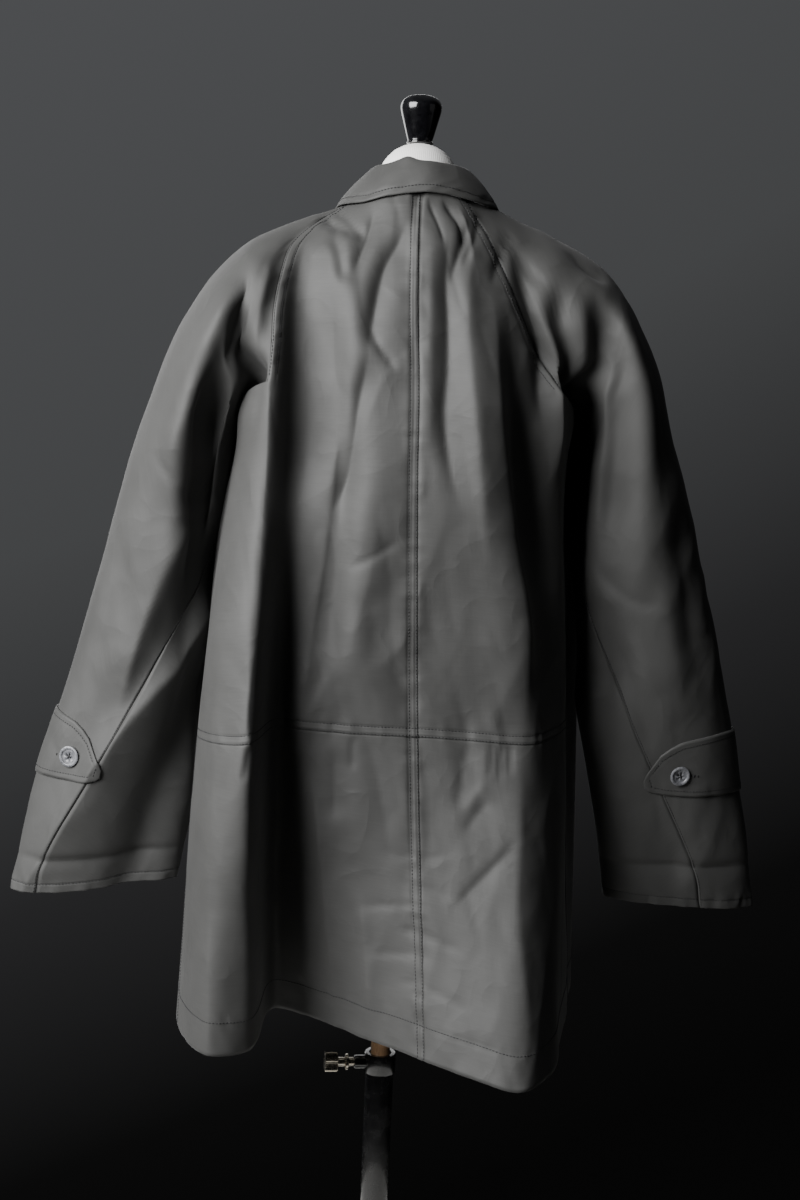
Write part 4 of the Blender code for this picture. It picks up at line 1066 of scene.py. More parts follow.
FRONT_CREASES = (
    Crease("chest_fall_left", ((-0.085, 1.395), (-0.098, 1.320), (-0.108, 1.200), (-0.112, 1.060)),
           0.015, 0.018, -0.0085, 1.5),
    Crease("chest_ridge_left", ((-0.060, 1.370), (-0.072, 1.250), (-0.082, 1.080)),
           0.016, 0.014, 0.0050),
    Crease("skirt_fall_left", ((-0.120, 1.000), (-0.128, 0.850), (-0.140, 0.580)),
           0.018, 0.022, -0.0110, 1.5),
    Crease("skirt_ridge_left", ((-0.070, 0.930), (-0.080, 0.760), (-0.092, 0.575)),
           0.018, 0.014, 0.0060, 1.3),
    Crease("chest_fall_right", ((0.082, 1.395), (0.094, 1.310), (0.106, 1.180), (0.116, 1.020)),
           0.018, 0.014, -0.0090, 1.5),
    Crease("chest_ridge_right", ((0.058, 1.370), (0.070, 1.240), (0.074, 1.100)),
           0.015, 0.016, 0.0045),
    Crease("skirt_fall_right", ((0.108, 1.020), (0.120, 0.840), (0.135, 0.580)),
           0.022, 0.017, -0.0100, 1.5),
    Crease("skirt_ridge_right", ((0.072, 0.900), (0.078, 0.740), (0.090, 0.575)),
           0.014, 0.018, 0.0055, 1.3),
    Crease("pull_left", ((-0.040, 1.150), (-0.070, 1.130), (-0.105, 1.140)),
           0.007, 0.010, -0.0035, 1.4),
    Crease("pull_right", ((0.035, 1.010), (0.070, 0.985), (0.110, 1.000)),
           0.007, 0.010, -0.0035, 1.4),
    Crease("arm_front_left", ((-0.195, 1.360), (-0.215, 1.280), (-0.240, 1.170), (-0.262, 1.080)),
           0.018, 0.009, 0.0080, 1.3),
    Crease("arm_front_trough_left", ((-0.180, 1.350), (-0.198, 1.270), (-0.218, 1.180)),
           0.010, 0.012, -0.0100),
    Crease("forearm_front_left", ((-0.250, 1.090), (-0.285, 0.970), (-0.315, 0.870)),
           0.018, 0.014, -0.0050),
    Crease("arm_front_right", ((0.198, 1.360), (0.220, 1.280), (0.246, 1.170), (0.270, 1.080)),
           0.009, 0.018, 0.0080, 1.3),
    Crease("arm_front_trough_right", ((0.182, 1.350), (0.200, 1.270), (0.222, 1.180)),
           0.012, 0.010, -0.0100),
    Crease("forearm_front_right", ((0.255, 1.090), (0.290, 0.970), (0.322, 0.870)),
           0.014, 0.018, -0.0050),
    Crease("cuff_fold_left", ((-0.425, 0.7255), (-0.320, 0.730), (-0.215, 0.7365)),
           0.003, 0.006, -0.0022, 1.3),
    Crease("cuff_fold_right", ((0.225, 0.7285), (0.335, 0.727), (0.440, 0.7255)),
           0.003, 0.006, -0.0022, 1.3),
)


def crease_push(points: np.ndarray, facing: Facing) -> np.ndarray:
    """Push of all creases of one half of the coat, with small seeded wrinkles between them.

    Args:
        points: Rows, columns and coordinates.
        facing: Half of the coat.

    Returns:
        Push in metres for each point.
    """
    x = np.nan_to_num(points[..., 0])
    z = np.nan_to_num(points[..., 2])
    total = np.zeros(x.shape)
    for crease in BACK_CREASES if facing is Facing.BACK else FRONT_CREASES:
        total += crease.push(x, z)
    drift = lattice_noise(x * 14.0, z * 9.0, Seed.DRIFT) * 0.012
    shift = facing.value
    wrinkle = lattice_noise((x + drift) * 34.0, z * 9.0, Seed.WRINKLE + shift)
    fold_in = lattice_noise((x + drift) * 19.0 + z * 4.0, z * 7.0 - x * 3.0, Seed.FOLD_IN + shift)
    fold_out = lattice_noise((x - drift) * 23.0 - z * 6.0, z * 9.0 + x * 4.0, Seed.FOLD_OUT + shift)
    fine = lattice_noise((x + drift) * 52.0 + z * 14.0, z * 24.0 - x * 10.0, Seed.FINE_FOLD + shift)
    return (total + WRINKLE_HEIGHT * wrinkle + FOLD_HEIGHT * (np.abs(fold_in) - np.abs(fold_out))
            + FINE_HEIGHT * np.abs(fine))


def facing_share(normal: np.ndarray, facing: Facing) -> np.ndarray:
    """Share of the creases of one half that reaches cloth, by the way that it faces."""
    return ease((FACING_EDGE + facing.value * normal[..., 1]) / FACING_SPAN)


def mesh_object(name: str, points: np.ndarray, faces: Sequence[Sequence[int]],
                material: bpy.types.Material,
                flat: Optional[np.ndarray] = None) -> bpy.types.Object:
    """Smooth-shaded object made from points and faces.

    Args:
        name: Piece name.
        points: Vertices.
        faces: Vertex numbers of each face.
        material: Finish.
        flat: Cloth coordinates of each vertex in metres.

    Returns:
        The new object, linked to the scene.
    """
    mesh = bpy.data.meshes.new(name)
    mesh.from_pydata(np.asarray(points).tolist(), [], [list(map(int, face)) for face in faces])
    mesh.polygons.foreach_set("use_smooth", np.ones(len(mesh.polygons), bool))
    if flat is not None:
        layer = mesh.uv_layers.new(name="flat")
        corner = np.empty(len(mesh.loops), np.int32)
        mesh.loops.foreach_get("vertex_index", corner)
        layer.data.foreach_set("uv", np.asarray(flat, float)[corner].ravel())
    mesh.materials.append(material)
    mesh.update()
    item = bpy.data.objects.new(name, mesh)
    bpy.context.scene.collection.objects.link(item)
    return item


@dataclass
class ClothPanel:
    """One cut piece of cloth as a grid of points, gaps as nan."""

    name: str
    points: np.ndarray
    outward: bool
    wall: float = 0.0012

    def normals(self) -> np.ndarray:
        """Normals on the outer side."""
        return grid_normals(self.points) * (1.0 if self.outward else -1.0)

    def build(self, material: bpy.types.Material) -> bpy.types.Object:
        """Makes the cloth with its wall on the inner side.

        Args:
            material: Cloth finish.

        Returns:
            The panel's object.
        """
        rows, columns = self.points.shape[:2]
        kept = ~np.isnan(self.points[..., 0])
        number = np.full((rows, columns), -1)
        number[kept] = np.arange(kept.sum())
        corners = np.stack([number[:-1, :-1], number[:-1, 1:], number[1:, 1:], number[1:, :-1]], -1)
        faces = corners.reshape(-1, 4)
        faces = faces[(faces >= 0).all(1)]
        faces = faces if self.outward else faces[:, ::-1]
        flat = np.stack([arc(self.points, 1), arc(self.points, 0)], -1)
        item = mesh_object(self.name, self.points[kept], faces, material, flat[kept])
        wall = item.modifiers.new("wall", "SOLIDIFY")
        wall.thickness = self.wall
        wall.offset = -1.0
        return item

    def inset(self, axis: int, distance: float, from_end: bool = False,
              columns: Optional[slice] = None, rows: Optional[slice] = None
              ) -> tuple[np.ndarray, np.ndarray]:
        """Line at a distance in from one edge.

        Args:
            axis: 1 to measure along rows, 0 along columns.
            distance: Distance from the edge.
            from_end: Measure from the last column or row.
            columns: Part of the columns to use.
            rows: Part of the rows to use.

        Returns:
            Points and outer normals of the line.
        """
        part = (rows or slice(None), columns or slice(None))
        points = self.points[part]
        normals = self.normals()[part]
        if axis == 0:
            points = points.transpose(1, 0, 2)
            normals = normals.transpose(1, 0, 2)
        if from_end:
            points = points[:, ::-1]
            normals = normals[:, ::-1]
        whole = ~np.isnan(points).any((1, 2))
        points = points[whole]
        normals = normals[whole]
        run = arc(points, 1)
        index = np.clip(np.argmax(run >= distance, axis=1), 1, None)
        line = np.arange(len(points))
        step = np.maximum(run[line, index] - run[line, index - 1], 1e-9)
        share = ((distance - run[line, index - 1]) / step)[:, None]
        return (points[line, index - 1] * (1 - share) + points[line, index] * share,
                normals[line, index - 1] * (1 - share) + normals[line, index] * share)


@dataclass
class Stitching:
    """Rows of lockstitch, each stitch a short rounded length of thread that dips at its ends."""

    length: float = 0.0027
    gap: float = 0.0009
    radius: float = 0.00046  # real thread is 0.2 mm; thicker so that a row shows
    sides: int = 5
    points: list[np.ndarray] = field(default_factory=list)
    faces: list[np.ndarray] = field(default_factory=list)
    count: int = 0

    def row(self, line: tuple[np.ndarray, np.ndarray]) -> None:
        """Adds stitches along a line on the cloth.

        Args:
            line: Points and outer normals.
        """
        spots, normals = line
        run = np.concatenate([[0.0], np.cumsum(np.linalg.norm(np.diff(spots, axis=0), axis=1))])
        starts = np.arange(0.001, run[-1] - self.length, self.length + self.gap)
        if not len(starts):
            return
        shares = np.array((0.0, 0.22, 0.78, 1.0))
        where = starts[:, None] + shares * self.length
        centre = np.stack([np.interp(where, run, spots[:, k]) for k in range(3)], -1)
        normal = np.stack([np.interp(where, run, normals[:, k]) for k in range(3)], -1)
        normal /= np.linalg.norm(normal, axis=-1, keepdims=True)
        tangent = centre[:, 3:] - centre[:, :1]
        tangent /= np.linalg.norm(tangent, axis=-1, keepdims=True)
        across = np.cross(tangent, normal)
        rise = np.array((-0.0002, 0.0002, 0.0002, -0.0002))[None, :, None]
        size = self.radius * np.array((0.6, 1.0, 1.0, 0.6))[None, :, None, None]
        turn = np.arange(self.sides) * math.tau / self.sides
        ring = (across[:, :, None] * np.cos(turn)[None, None, :, None]
                + normal[:, :, None] * np.sin(turn)[None, None, :, None])
        points = (centre + normal * rise)[:, :, None] + ring * size
        each = 4 * self.sides
        base = self.count + np.arange(len(starts))[:, None, None] * each
        step = np.arange(self.sides)
        other = (step + 1) % self.sides
        band = np.stack([step, other, other + self.sides, step + self.sides], -1)
        quads = np.concatenate([band + k * self.sides for k in range(3)])
        self.faces.append((quads[None] + base).reshape(-1, 4))
        self.points.append(points.reshape(-1, 3))
        self.count += len(starts) * each

    def build(self, name: str, material: bpy.types.Material) -> bpy.types.Object:
        """Makes all rows as one piece.

        Args:
            name: Piece name.
            material: Thread finish.

        Returns:
            The stitching's object.
        """
        return mesh_object(name, np.concatenate(self.points), np.concatenate(self.faces), material)


def seam_relief(distance: np.ndarray, rows: Sequence[float], along_it: np.ndarray,
                seed: int) -> np.ndarray:
    """Dips under stitch rows and small puckers beside them.

    Args:
        distance: Distance from the seam's edge.
        rows: Distances of the stitch rows.
        along_it: Length along the seam.
        seed: Number of the pucker pattern.

    Returns:
        Push in metres.
    """
    push = np.zeros(distance.shape)
    for row in rows:
        push -= DIP_DEPTH * np.exp(-((distance - row) / DIP_WIDTH) ** 2)
        pucker = lattice_noise(along_it / PUCKER_LENGTH, distance * 20.0, seed)
        push += PUCKER_HEIGHT * pucker * np.exp(-((distance - row) / PUCKER_REACH) ** 2)
    return push


def displace(panel: ClothPanel, push: np.ndarray, facing: Facing, seam_share: np.ndarray) -> None:
    """Moves a panel out, straight along Y beside the armhole seams and on steep walls.

    Args:
        panel: Panel to move.
        push: Push in metres.
        facing: Half of the coat.
        seam_share: 1 away from the armhole seams, 0 on them.
    """
    normal = panel.normals()
    straight = np.array((0.0, float(facing.value), 0.0))
    steep = ease((np.abs(normal[..., 0]) - STEEP_FROM) / STEEP_SPAN)
    share = (seam_share * (1.0 - STEEP_SHARE * steep))[..., None]
    direction = normal * share + straight * (1 - share)
    direction /= np.linalg.norm(direction, axis=-1, keepdims=True)
    panel.points = panel.points + direction * push[..., None]


@dataclass
class CoatBody:
    """Backs and fronts of the coat, with felled centre-back and hip seams."""

    form: CoatForm
    spacing: float = 0.0037
    front_spacing: float = 0.0060
    lap: float = 0.0046
    lap_lift: float = 0.0005
    row_gap: float = 0.0082
    hem_depth: float = 0.035
    pocket: tuple[float, float] = (0.722, 0.832)
    pocket_gape: float = 0.0035
    armpit_height: float = 1.222
    armpit_reach: float = 0.026
    armpit_bulge: float = 0.005
    height: float = 0.686
    raglan_row: float = 0.0018
    first_row: float = 0.001
    front_row: float = 0.007
    seam_fade: float = 0.035
    top_rows: int = 58
    front_top_rows: int = 36
    # Width of one body line beside the raglan's foot and beside the front edge
    foot_line: float = 0.040
    front_line: float = 0.09
    # Columns nearer than this to a seam's own are left out, in lines
    clear_lines: float = 0.02
    near_seam: tuple[float, ...] = (0.0010, 0.0022, 0.0034, 0.0046, 0.0058, 0.0072, 0.0088)
    edges: dict[Side, tuple[np.ndarray, np.ndarray]] = field(default_factory=dict)
    panels: dict[str, ClothPanel] = field(default_factory=dict)

    def columns(self, side: Side, first: float, last: float, spacing: float) -> np.ndarray:
        """Line numbers between two lines, evenly spaced on the cloth.

        Args:
            side: Wearer's side.
            first: First line number.
            last: Last line number.
            spacing: Distance between columns.

        Returns:
            Rising line numbers.
        """
        fine = np.linspace(first, last, 400)
        cloth = self.form.body(self.form.place(side, fine), (0.1, 0.5, 0.9))
        steps = np.linalg.norm(np.diff(cloth, axis=1), axis=2).max(0)
        run = np.concatenate([[0.0], np.cumsum(steps)])
        return np.interp(np.linspace(0.0, run[-1], int(run[-1] / spacing) + 2), run, fine)

    def back(self, side: Side) -> None:
        """Makes the upper and lower back of one side.

        Args:
            side: Wearer's side.
        """
        form = self.form
        main = self.columns(side, 0.0, form.back_foot, self.spacing)
        first, second = (form.body(form.place(side, number), 0.6) for number in (0.0, 1.0))
        width = np.linalg.norm(first - second)
        near = np.array(self.near_seam) / width
        if side is Side.LEFT:
            near = np.concatenate([np.linspace(-self.lap, -0.0005, 5) / width, near])
        foot_near = form.back_foot - np.array(self.near_seam) / self.foot_line
        clear = (main > near.max() + self.clear_lines) & (main < foot_near.min() - self.clear_lines)
        main = main[clear | (main < SAME) | (main > form.back_foot - SAME)]
        numbers = np.concatenate([near, main, foot_near,
                                  self.columns(side, form.back_foot, form.side_seam, self.spacing)])
        numbers = np.unique(np.round(numbers, 5))
        step = self.spacing / self.height
        hip = form.hip_share
        seam_rows = np.array(self.near_seam) / self.height
        lower = np.concatenate([np.arange(0.0, hip, step), hip - seam_rows, [hip]])
        upper = np.concatenate([hip - np.linspace(0.0, self.lap, 5) / self.height, hip + seam_rows,
                                np.arange(hip + step, 1.0, step), [1.0]])
        ups = np.linspace(0.0, 1.0, self.top_rows)[1:]
        self.finish_back(side, f"back_lower_{side.word}", numbers, np.unique(lower), None)
        self.finish_back(side, f"back_upper_{side.word}", numbers, np.unique(upper), ups)

    def soften(self, points: np.ndarray, row: int, numbers: np.ndarray) -> None:
        """Rounds the bend where the back's top begins, more so away from the armhole.

        Args:
            points: Rows, columns and coordinates, changed in place.
            row: Row of the bend.
            numbers: Columns as line numbers.
        """
        share = ease((self.form.back_foot - numbers) / 0.5)[None, :, None]
        near = points[row - 16:row + 17]
        for _ in range(60):
            mean = (near[:-2] + 2.0 * near[1:-1] + near[2:]) / 4.0
            near[1:-1] = np.where(share > 0, near[1:-1] + (mean - near[1:-1]) * share, near[1:-1])

    def fill_armpit(self, side: Side, panel: ClothPanel, normal: np.ndarray) -> None:
        """Moves a panel's side out under the arm, up to the sleeve.

        Args:
            side: Wearer's side.
            panel: Panel to change.
            normal: Outer normals of the panel.
        """
        above = panel.points[..., 2] - self.armpit_height
        near = np.exp(-(above / self.armpit_reach) ** 2)
        outward = ease((side.value * normal[..., 0] - 0.88) / 0.10)
        panel.points[..., 0] += side.value * self.armpit_bulge * near * outward

    def finish_back(self, side: Side, name: str, numbers: np.ndarray, shares: np.ndarray,
                    ups: Optional[np.ndarray]) -> None:
        """Creases one back panel and keeps it.

        Args:
            side: Wearer's side.
            name: Panel's name.
            numbers: Columns as line numbers.
            shares: Rows below the armhole.
            ups: Rows above the armhole, where there are any.
        """
        form = self.form
        points = form.body(form.place(side, numbers), shares)
        inner = numbers <= form.back_foot + SAME
        if ups is not None:
            top = np.full((len(ups), len(numbers), 3), np.nan)
            top[:, inner] = form.back_top(side, numbers[inner], ups)
            points = np.concatenate([points, top])
            self.soften(points, len(shares) - 1, numbers)
        panel = ClothPanel(name, points, side is Side.RIGHT)
        normal = panel.normals()
        zero = int(np.argmin(np.abs(numbers)))
        from_centre = arc(points, 1, zero) * np.where(numbers < 0, -1.0, 1.0)
        foot = int(np.argmin(np.abs(numbers - form.back_foot)))
        from_raglan = np.where(inner[None], arc(points, 1, foot), 1.0)
        up_cloth = arc(points, 0)
        low = len(shares) - 1
        on_raglan = (np.arange(len(points)) >= low)[:, None] & (ups is not None)
        below = np.abs(points[..., 2] - form.armhole_height)
        from_raglan = np.where(on_raglan, from_raglan, np.hypot(from_raglan, below))
        push = crease_push(points, Facing.BACK) * facing_share(normal, Facing.BACK)
        push = push * (0.35 + 0.65 * ease(np.abs(from_centre) / 0.010))
        first = self.first_row - self.lap
        push += seam_relief(from_centre, (first, first + self.row_gap), up_cloth, Seed.CENTRE_BACK)
        if side is Side.LEFT:
            push += self.lap_lift * ease((0.0012 - from_centre) / 0.0024)
        across = arc(points, 1, zero)
        if ups is not None:
            rows = (self.first_row, self.first_row + self.row_gap)
            push += seam_relief(up_cloth, rows, across, Seed.HIP)
            push += self.lap_lift * ease((self.lap + self.first_row - up_cloth) / 0.0024)
            stitched = np.where(on_raglan, from_raglan, 1.0)
            rows = (self.raglan_row, self.raglan_row + self.row_gap)
            push += seam_relief(stitched, rows, up_cloth, Seed.RAGLAN)
            push -= 0.0012 * np.exp(-(stitched / 0.0012) ** 2)
        else:
            push += seam_relief(arc(points, 0, low), (0.004,), across, Seed.HIP)
            push += seam_relief(up_cloth, (self.hem_depth,), across, Seed.BACK_HEM)
            if side is Side.LEFT:
                push += self.pocket_gape * self.pocket_mouth(points)
            wave = lattice_noise(from_centre / 0.012, up_cloth / 0.02, Seed.HEM_WAVE)
            push += 0.0009 * wave * np.exp(-(up_cloth / 0.02) ** 2)
        displace(panel, push, Facing.BACK, ease(from_raglan / self.seam_fade))
        self.fill_armpit(side, panel, normal)
        self.panels[name] = panel
        if ups is not None:
            outer = numbers >= form.back_foot - SAME
            rise = np.concatenate([[0.0], ups])
            span = form.foot_angle - form.back_neck_angle(side)
            under = (numbers[outer][1:] - form.back_foot) * form.under_step()
            angle = np.concatenate([(form.foot_angle - rise * span)[::-1], form.foot_angle + under])
            line = np.concatenate([panel.points[low:, foot][::-1], panel.points[low, outer][1:]])
            self.edges[side] = (angle, line)

    def pocket_mouth(self, points: np.ndarray) -> np.ndarray:
        """Share of the pocket's gape at points of a lower back, along its side seam."""
        low, high = self.pocket
        mouth = ease((points[..., 2] - low) / 0.02) * ease((high - points[..., 2]) / 0.02)
        return mouth * np.exp(-(arc(points, 1, points.shape[1] - 1) / 0.012) ** 2)

    def front(self, side: Side) -> None:
        """Makes one front, the left one lapped over the right.

        Args:
            side: Wearer's side.
        """
        form = self.form
        first = form.centre_front + form.lap_lines
        near = first - np.array(self.near_seam) / self.front_line
        main = self.columns(side, form.front_foot, first, self.front_spacing)
        main = main[(main < near.min() - self.clear_lines) | (main > first - SAME)]
        under = self.columns(side, form.side_seam, form.front_foot, self.front_spacing)
        numbers = np.concatenate([under, main, near])
        numbers = np.unique(np.round(numbers, 5))[::-1]
        step = self.front_spacing / self.height
        shares = np.append(np.arange(0.0, 1.0, step), 1.0)
        ups = np.linspace(0.0, 1.0, self.front_top_rows)[1:]
        inner = numbers >= form.front_foot - SAME
        top = np.full((len(ups), len(numbers), 3), np.nan)
        top[:, inner] = form.front_top(side, numbers[inner], ups)
        points = np.concatenate([form.body(form.place(side, numbers), shares), top])
        if side is Side.LEFT:
            share = ease((points[..., 0] + 0.065) / 0.030) * (points[..., 1] > 0.0)
            points[..., 1] += form.overlap_lift * share
        panel = ClothPanel(f"front_{side.word}", points, side is Side.LEFT)
        normal = panel.normals()
        low = len(shares) - 1
        foot = int(np.argmin(np.abs(numbers - form.front_foot)))
        from_raglan = np.where(inner[None], arc(points, 1, foot), 1.0)
        below = np.maximum(form.front_foot_height - points[..., 2], 0.0)
        from_raglan = np.hypot(from_raglan, below)
        push = crease_push(points, Facing.FRONT) * facing_share(normal, Facing.FRONT)
        push *= ease((np.abs(points[..., 0]) - 0.028) / 0.030)
        from_edge, up_cloth = arc(points, 1), arc(points, 0)
        push += seam_relief(up_cloth, (self.hem_depth,), from_edge, Seed.FRONT_HEM)
        if side is Side.LEFT:
            push += seam_relief(from_edge, (self.front_row,), up_cloth, Seed.FRONT_EDGE)
        displace(panel, push, Facing.FRONT, ease(from_raglan / self.seam_fade))
        self.fill_armpit(side, panel, normal)
        self.panels[panel.name] = panel
        outer = numbers <= form.front_foot + SAME
        order = np.argsort(numbers[outer])
        angle = 180.0 + (numbers[outer][order] - form.side_seam) * form.under_step()
        line = panel.points[low, outer][order]
        span = form.foot_angle - form.front_neck_angle
        angle = np.concatenate([angle, 360.0 - form.foot_angle + ups * span])
        line = np.concatenate([line, panel.points[low + 1:, foot]])
        back_angle, back_line = self.edges[side]
        self.edges[side] = (np.concatenate([back_angle, angle[1:]]),
                            np.concatenate([back_line, line[1:]]))

    def stitch(self, stitching: Stitching) -> None:
        """Sews the felled seams, hems and front edges.

        Args:
            stitching: Thread that takes the rows.
        """
        for side in Side:
            lower = self.panels[f"back_lower_{side.word}"]
            upper = self.panels[f"back_upper_{side.word}"]
            front = self.panels[f"front_{side.word}"]
            for distance in (self.first_row, self.first_row + self.row_gap):
                stitching.row(upper.inset(0, distance, rows=slice(0, 30)))
                if side is Side.LEFT:
                    stitching.row(lower.inset(1, distance))
                    stitching.row(upper.inset(1, distance, columns=slice(0, 30)))
            whole = np.isnan(upper.points[-1, :, 0])
            last = int(np.argmax(whole))
            low = int(np.argmax(np.isnan(upper.points[:, -1, 0])))
            for distance in (self.raglan_row, self.raglan_row + self.row_gap):
                stitching.row(upper.inset(1, distance, True, slice(0, last), slice(low, None)))
            stitching.row(lower.inset(0, self.hem_depth))
            stitching.row(front.inset(0, self.hem_depth, rows=slice(0, 30)))
            stitching.row(lower.inset(1, 0.002, True))
            if side is Side.LEFT:
                stitching.row(front.inset(1, self.front_row, columns=slice(0, 12)))


@dataclass
class Sleeves:
    """Top and under sleeves, cuff tabs and the places of the tab buttons."""

    form: CoatForm
    body: CoatBody
    top_columns: int = 104
    under_columns: int = 44
    row_count: int = 172
    hem_row: float = 0.010
    seam_row: float = 0.0018
    tab_row: float = 0.007
    # Depth that the sleeve's inner side moves to the body, the heights it fades over at the foot
    # and at the head, and the front angle where it ends
    armpit_fill: float = 0.020
    fill_foot: tuple[float, float] = (0.96, 0.16)
    fill_head: tuple[float, float] = (1.290, 0.04)
    fill_end: tuple[float, float] = (235.0, 60.0)
    tab_lift: float = 0.0027
    tab_wall: float = 0.0018
    # Left, then right: angle and height of the tab's tip
    tab_tips: tuple[tuple[float, float], ...] = ((78.0, 0.828), (114.0, 0.823))
    # Tab outline: degrees back from the tip, lower and upper edge above the tip
    tab_rows: tuple[tuple[float, ...], ...] = (
        (0.0, -0.003, 0.005), (3.0, -0.007, 0.013), (8.0, -0.009, 0.022), (16.0, -0.0105, 0.037),
        (24.0, -0.011, 0.046), (33.0, -0.011, 0.053), (44.0, -0.0105, 0.057), (55.0, -0.010, 0.060),
        (66.0, -0.0095, 0.062), (78.0, -0.009, 0.063), (89.0, -0.009, 0.063), (100.0, -0.009, 0.063),
        (112.0, -0.009, 0.063), (123.0, -0.009, 0.063))
    button_back: float = 27.5
    button_rise: float = 0.015
    hole_length: float = 13.5
    holes: dict[Side, tuple[np.ndarray, np.ndarray]] = field(default_factory=dict)
    panels: dict[str, ClothPanel] = field(default_factory=dict)

    def push(self, points: np.ndarray, normal: np.ndarray) -> np.ndarray:
        """Crease push from both halves, by which way the cloth faces."""
        back, front = (crease_push(points, facing) * facing_share(normal, facing)
                       for facing in Facing)
        return back + front

    def shell(self, side: Side, name: str, angles: np.ndarray, rings: np.ndarray) -> None:
        """Creases one sleeve panel and joins it to the body's armhole.

        Args:
            side: Wearer's side.
            name: Panel's name.
            angles: Angles of each row.
            rings: Place of each row along the sleeve.
        """
        panel = ClothPanel(name, self.form.sleeve(side, angles, rings), side is Side.RIGHT)
        normal = panel.normals()
        down = arc(panel.points, 0)
        from_hem = arc(panel.points, 0, len(rings) - 1)
        round_it = arc(panel.points, 1)
        push = self.push(panel.points, normal)
        height = panel.points[..., 2]
        foot, foot_fade = self.fill_foot
        head, head_fade = self.fill_head
        end, end_fade = self.fill_end
        to_body = ease((0.45 - np.cos(np.radians(angles))) / 1.2)
        to_body = to_body * ease((end - np.mod(angles, 360.0)) / end_fade)
        to_body = to_body * ease((height - foot) / foot_fade) * ease((head - height) / head_fade)
        fill = self.armpit_fill * to_body
        panel.points[..., 0] -= side.value * fill * ease(down / 0.021)
        push += seam_relief(from_hem, (self.hem_row,), round_it, Seed.CUFF)
        pucker = lattice_noise(round_it / 0.010, from_hem / 0.02, Seed.CUFF_PUCKER)
        push += 0.0015 * pucker * np.exp(-(from_hem / 0.02) ** 2)
        panel.points = panel.points + normal * push[..., None]
        angle, line = self.body.edges[side]
        turn = np.mod(angles[0], 360.0)
        target = np.stack([np.interp(turn, angle, line[:, k]) for k in range(3)], -1)
        sewn = (turn >= angle[0]) & (turn <= angle[-1])
        target = np.where(sewn[:, None], target, self.form.armhole(side, angles[0]))
        panel.points += (target - panel.points[0])[None] * (1 - ease(down / 0.030))[..., None]
        self.panels[name] = panel

    def build(self, side: Side) -> None:
        """Makes both panels of one sleeve.

        Args:
            side: Wearer's side.
        """
        form = self.form
        rings = np.unique(np.concatenate([np.linspace(0.0, 9.0, self.row_count),
                                          (0.03, 0.07, 0.12), 9.0 - np.linspace(0.0, 0.5, 16)]))
        hind_table = form.hind_left if side is Side.LEFT else form.hind_right
        hind = hermite(range(10), np.array(hind_table), rings)[:, None]
        fore = hermite(range(10), np.array(form.fore_seam), rings)[:, None]
        for name, count, first, last in (("top", self.top_columns, fore - 360.0, hind),
                                         ("under", self.under_columns, hind, fore)):
            share = np.linspace(0.0, 1.0, count)[None]
            self.shell(side, f"{name}_sleeve_{side.word}", first * (1 - share) + last * share, rings)

    def at(self, side: Side, angles: np.ndarray,
           heights: np.ndarray) -> tuple[np.ndarray, np.ndarray]:
        """Creased sleeve surface by angle and height near the cuff.

        Args:
            side: Wearer's side.
            angles: Angles in degrees.
            heights: Heights of the wanted points.

        Returns:
            Points and outer normals.
        """
        low = np.full(len(angles), 3.0)
        high = np.full(len(angles), 9.0)
        for _ in range(30):
            middle = (low + high) / 2
            above = self.form.sleeve(side, angles[:, None], middle)[:, 0, 2] > heights
            low = np.where(above, middle, low)
            high = np.where(above, high, middle)
        around = angles[:, None] + np.array((-1.0, 0.0, 1.0))
        rows = [self.form.sleeve(side, around, middle + step) for step in (-0.02, 0.0, 0.02)]
        point = rows[1][:, 1]
        normal = np.cross(rows[1][:, 2] - rows[1][:, 0], rows[2][:, 1] - rows[0][:, 1]) * side.value
        normal /= np.linalg.norm(normal, axis=-1, keepdims=True)
        return point + normal * self.push(point, normal)[:, None], normal

    def tab(self, side: Side) -> tuple[np.ndarray, np.ndarray]:
        """Makes one cuff tab and finds its button.

        Args:
            side: Wearer's side.

        Returns:
            Place of the button's foot and its outward direction.
        """
        tip_angle, tip_height = self.tab_tips[side is Side.RIGHT]
        table = np.array(self.tab_rows)
        back = np.concatenate([np.linspace(0.0, 8.0, 9), np.arange(10.0, 123.1, 2.0), [123.0]])
        low = np.interp(back, table[:, 0], table[:, 1])
        high = np.interp(back, table[:, 0], table[:, 2])
        share = np.linspace(0.0, 1.0, 23)
        heights = tip_height + low[:, None] + (high - low)[:, None] * share
        angles = np.repeat(tip_angle - back, len(share))
        points, normals = self.at(side, angles, heights.ravel())
        in_from_edge = np.minimum(share, 1 - share)[None] * (high - low)[:, None]
        in_from_edge = np.minimum(in_from_edge, (back[:, None] + 0.4) * 0.0012)
        lift = self.tab_lift - 0.0004 * np.exp(-((in_from_edge - 0.007) / 0.0014) ** 2)
        lift = lift - 0.0006 * np.exp(-in_from_edge / 0.0012)
        grid = (points + normals * lift.ravel()[:, None]).reshape(len(back), len(share), 3)
        name = f"tab_{side.word}"
        self.panels[name] = ClothPanel(name, grid, side is Side.LEFT, self.tab_wall)
        slit = tip_angle - np.linspace(self.button_back, self.button_back + self.hole_length, 12)
        points, normals = self.at(side, slit, np.full(12, tip_height + self.button_rise))
        self.holes[side] = (points + normals * (self.tab_lift + 0.0003), normals)
        spot, normal = self.at(side, np.array([tip_angle - self.button_back]),
                               np.array([tip_height + self.button_rise]))
        return spot[0] + normal[0] * (self.tab_lift + 0.0005), normal[0]

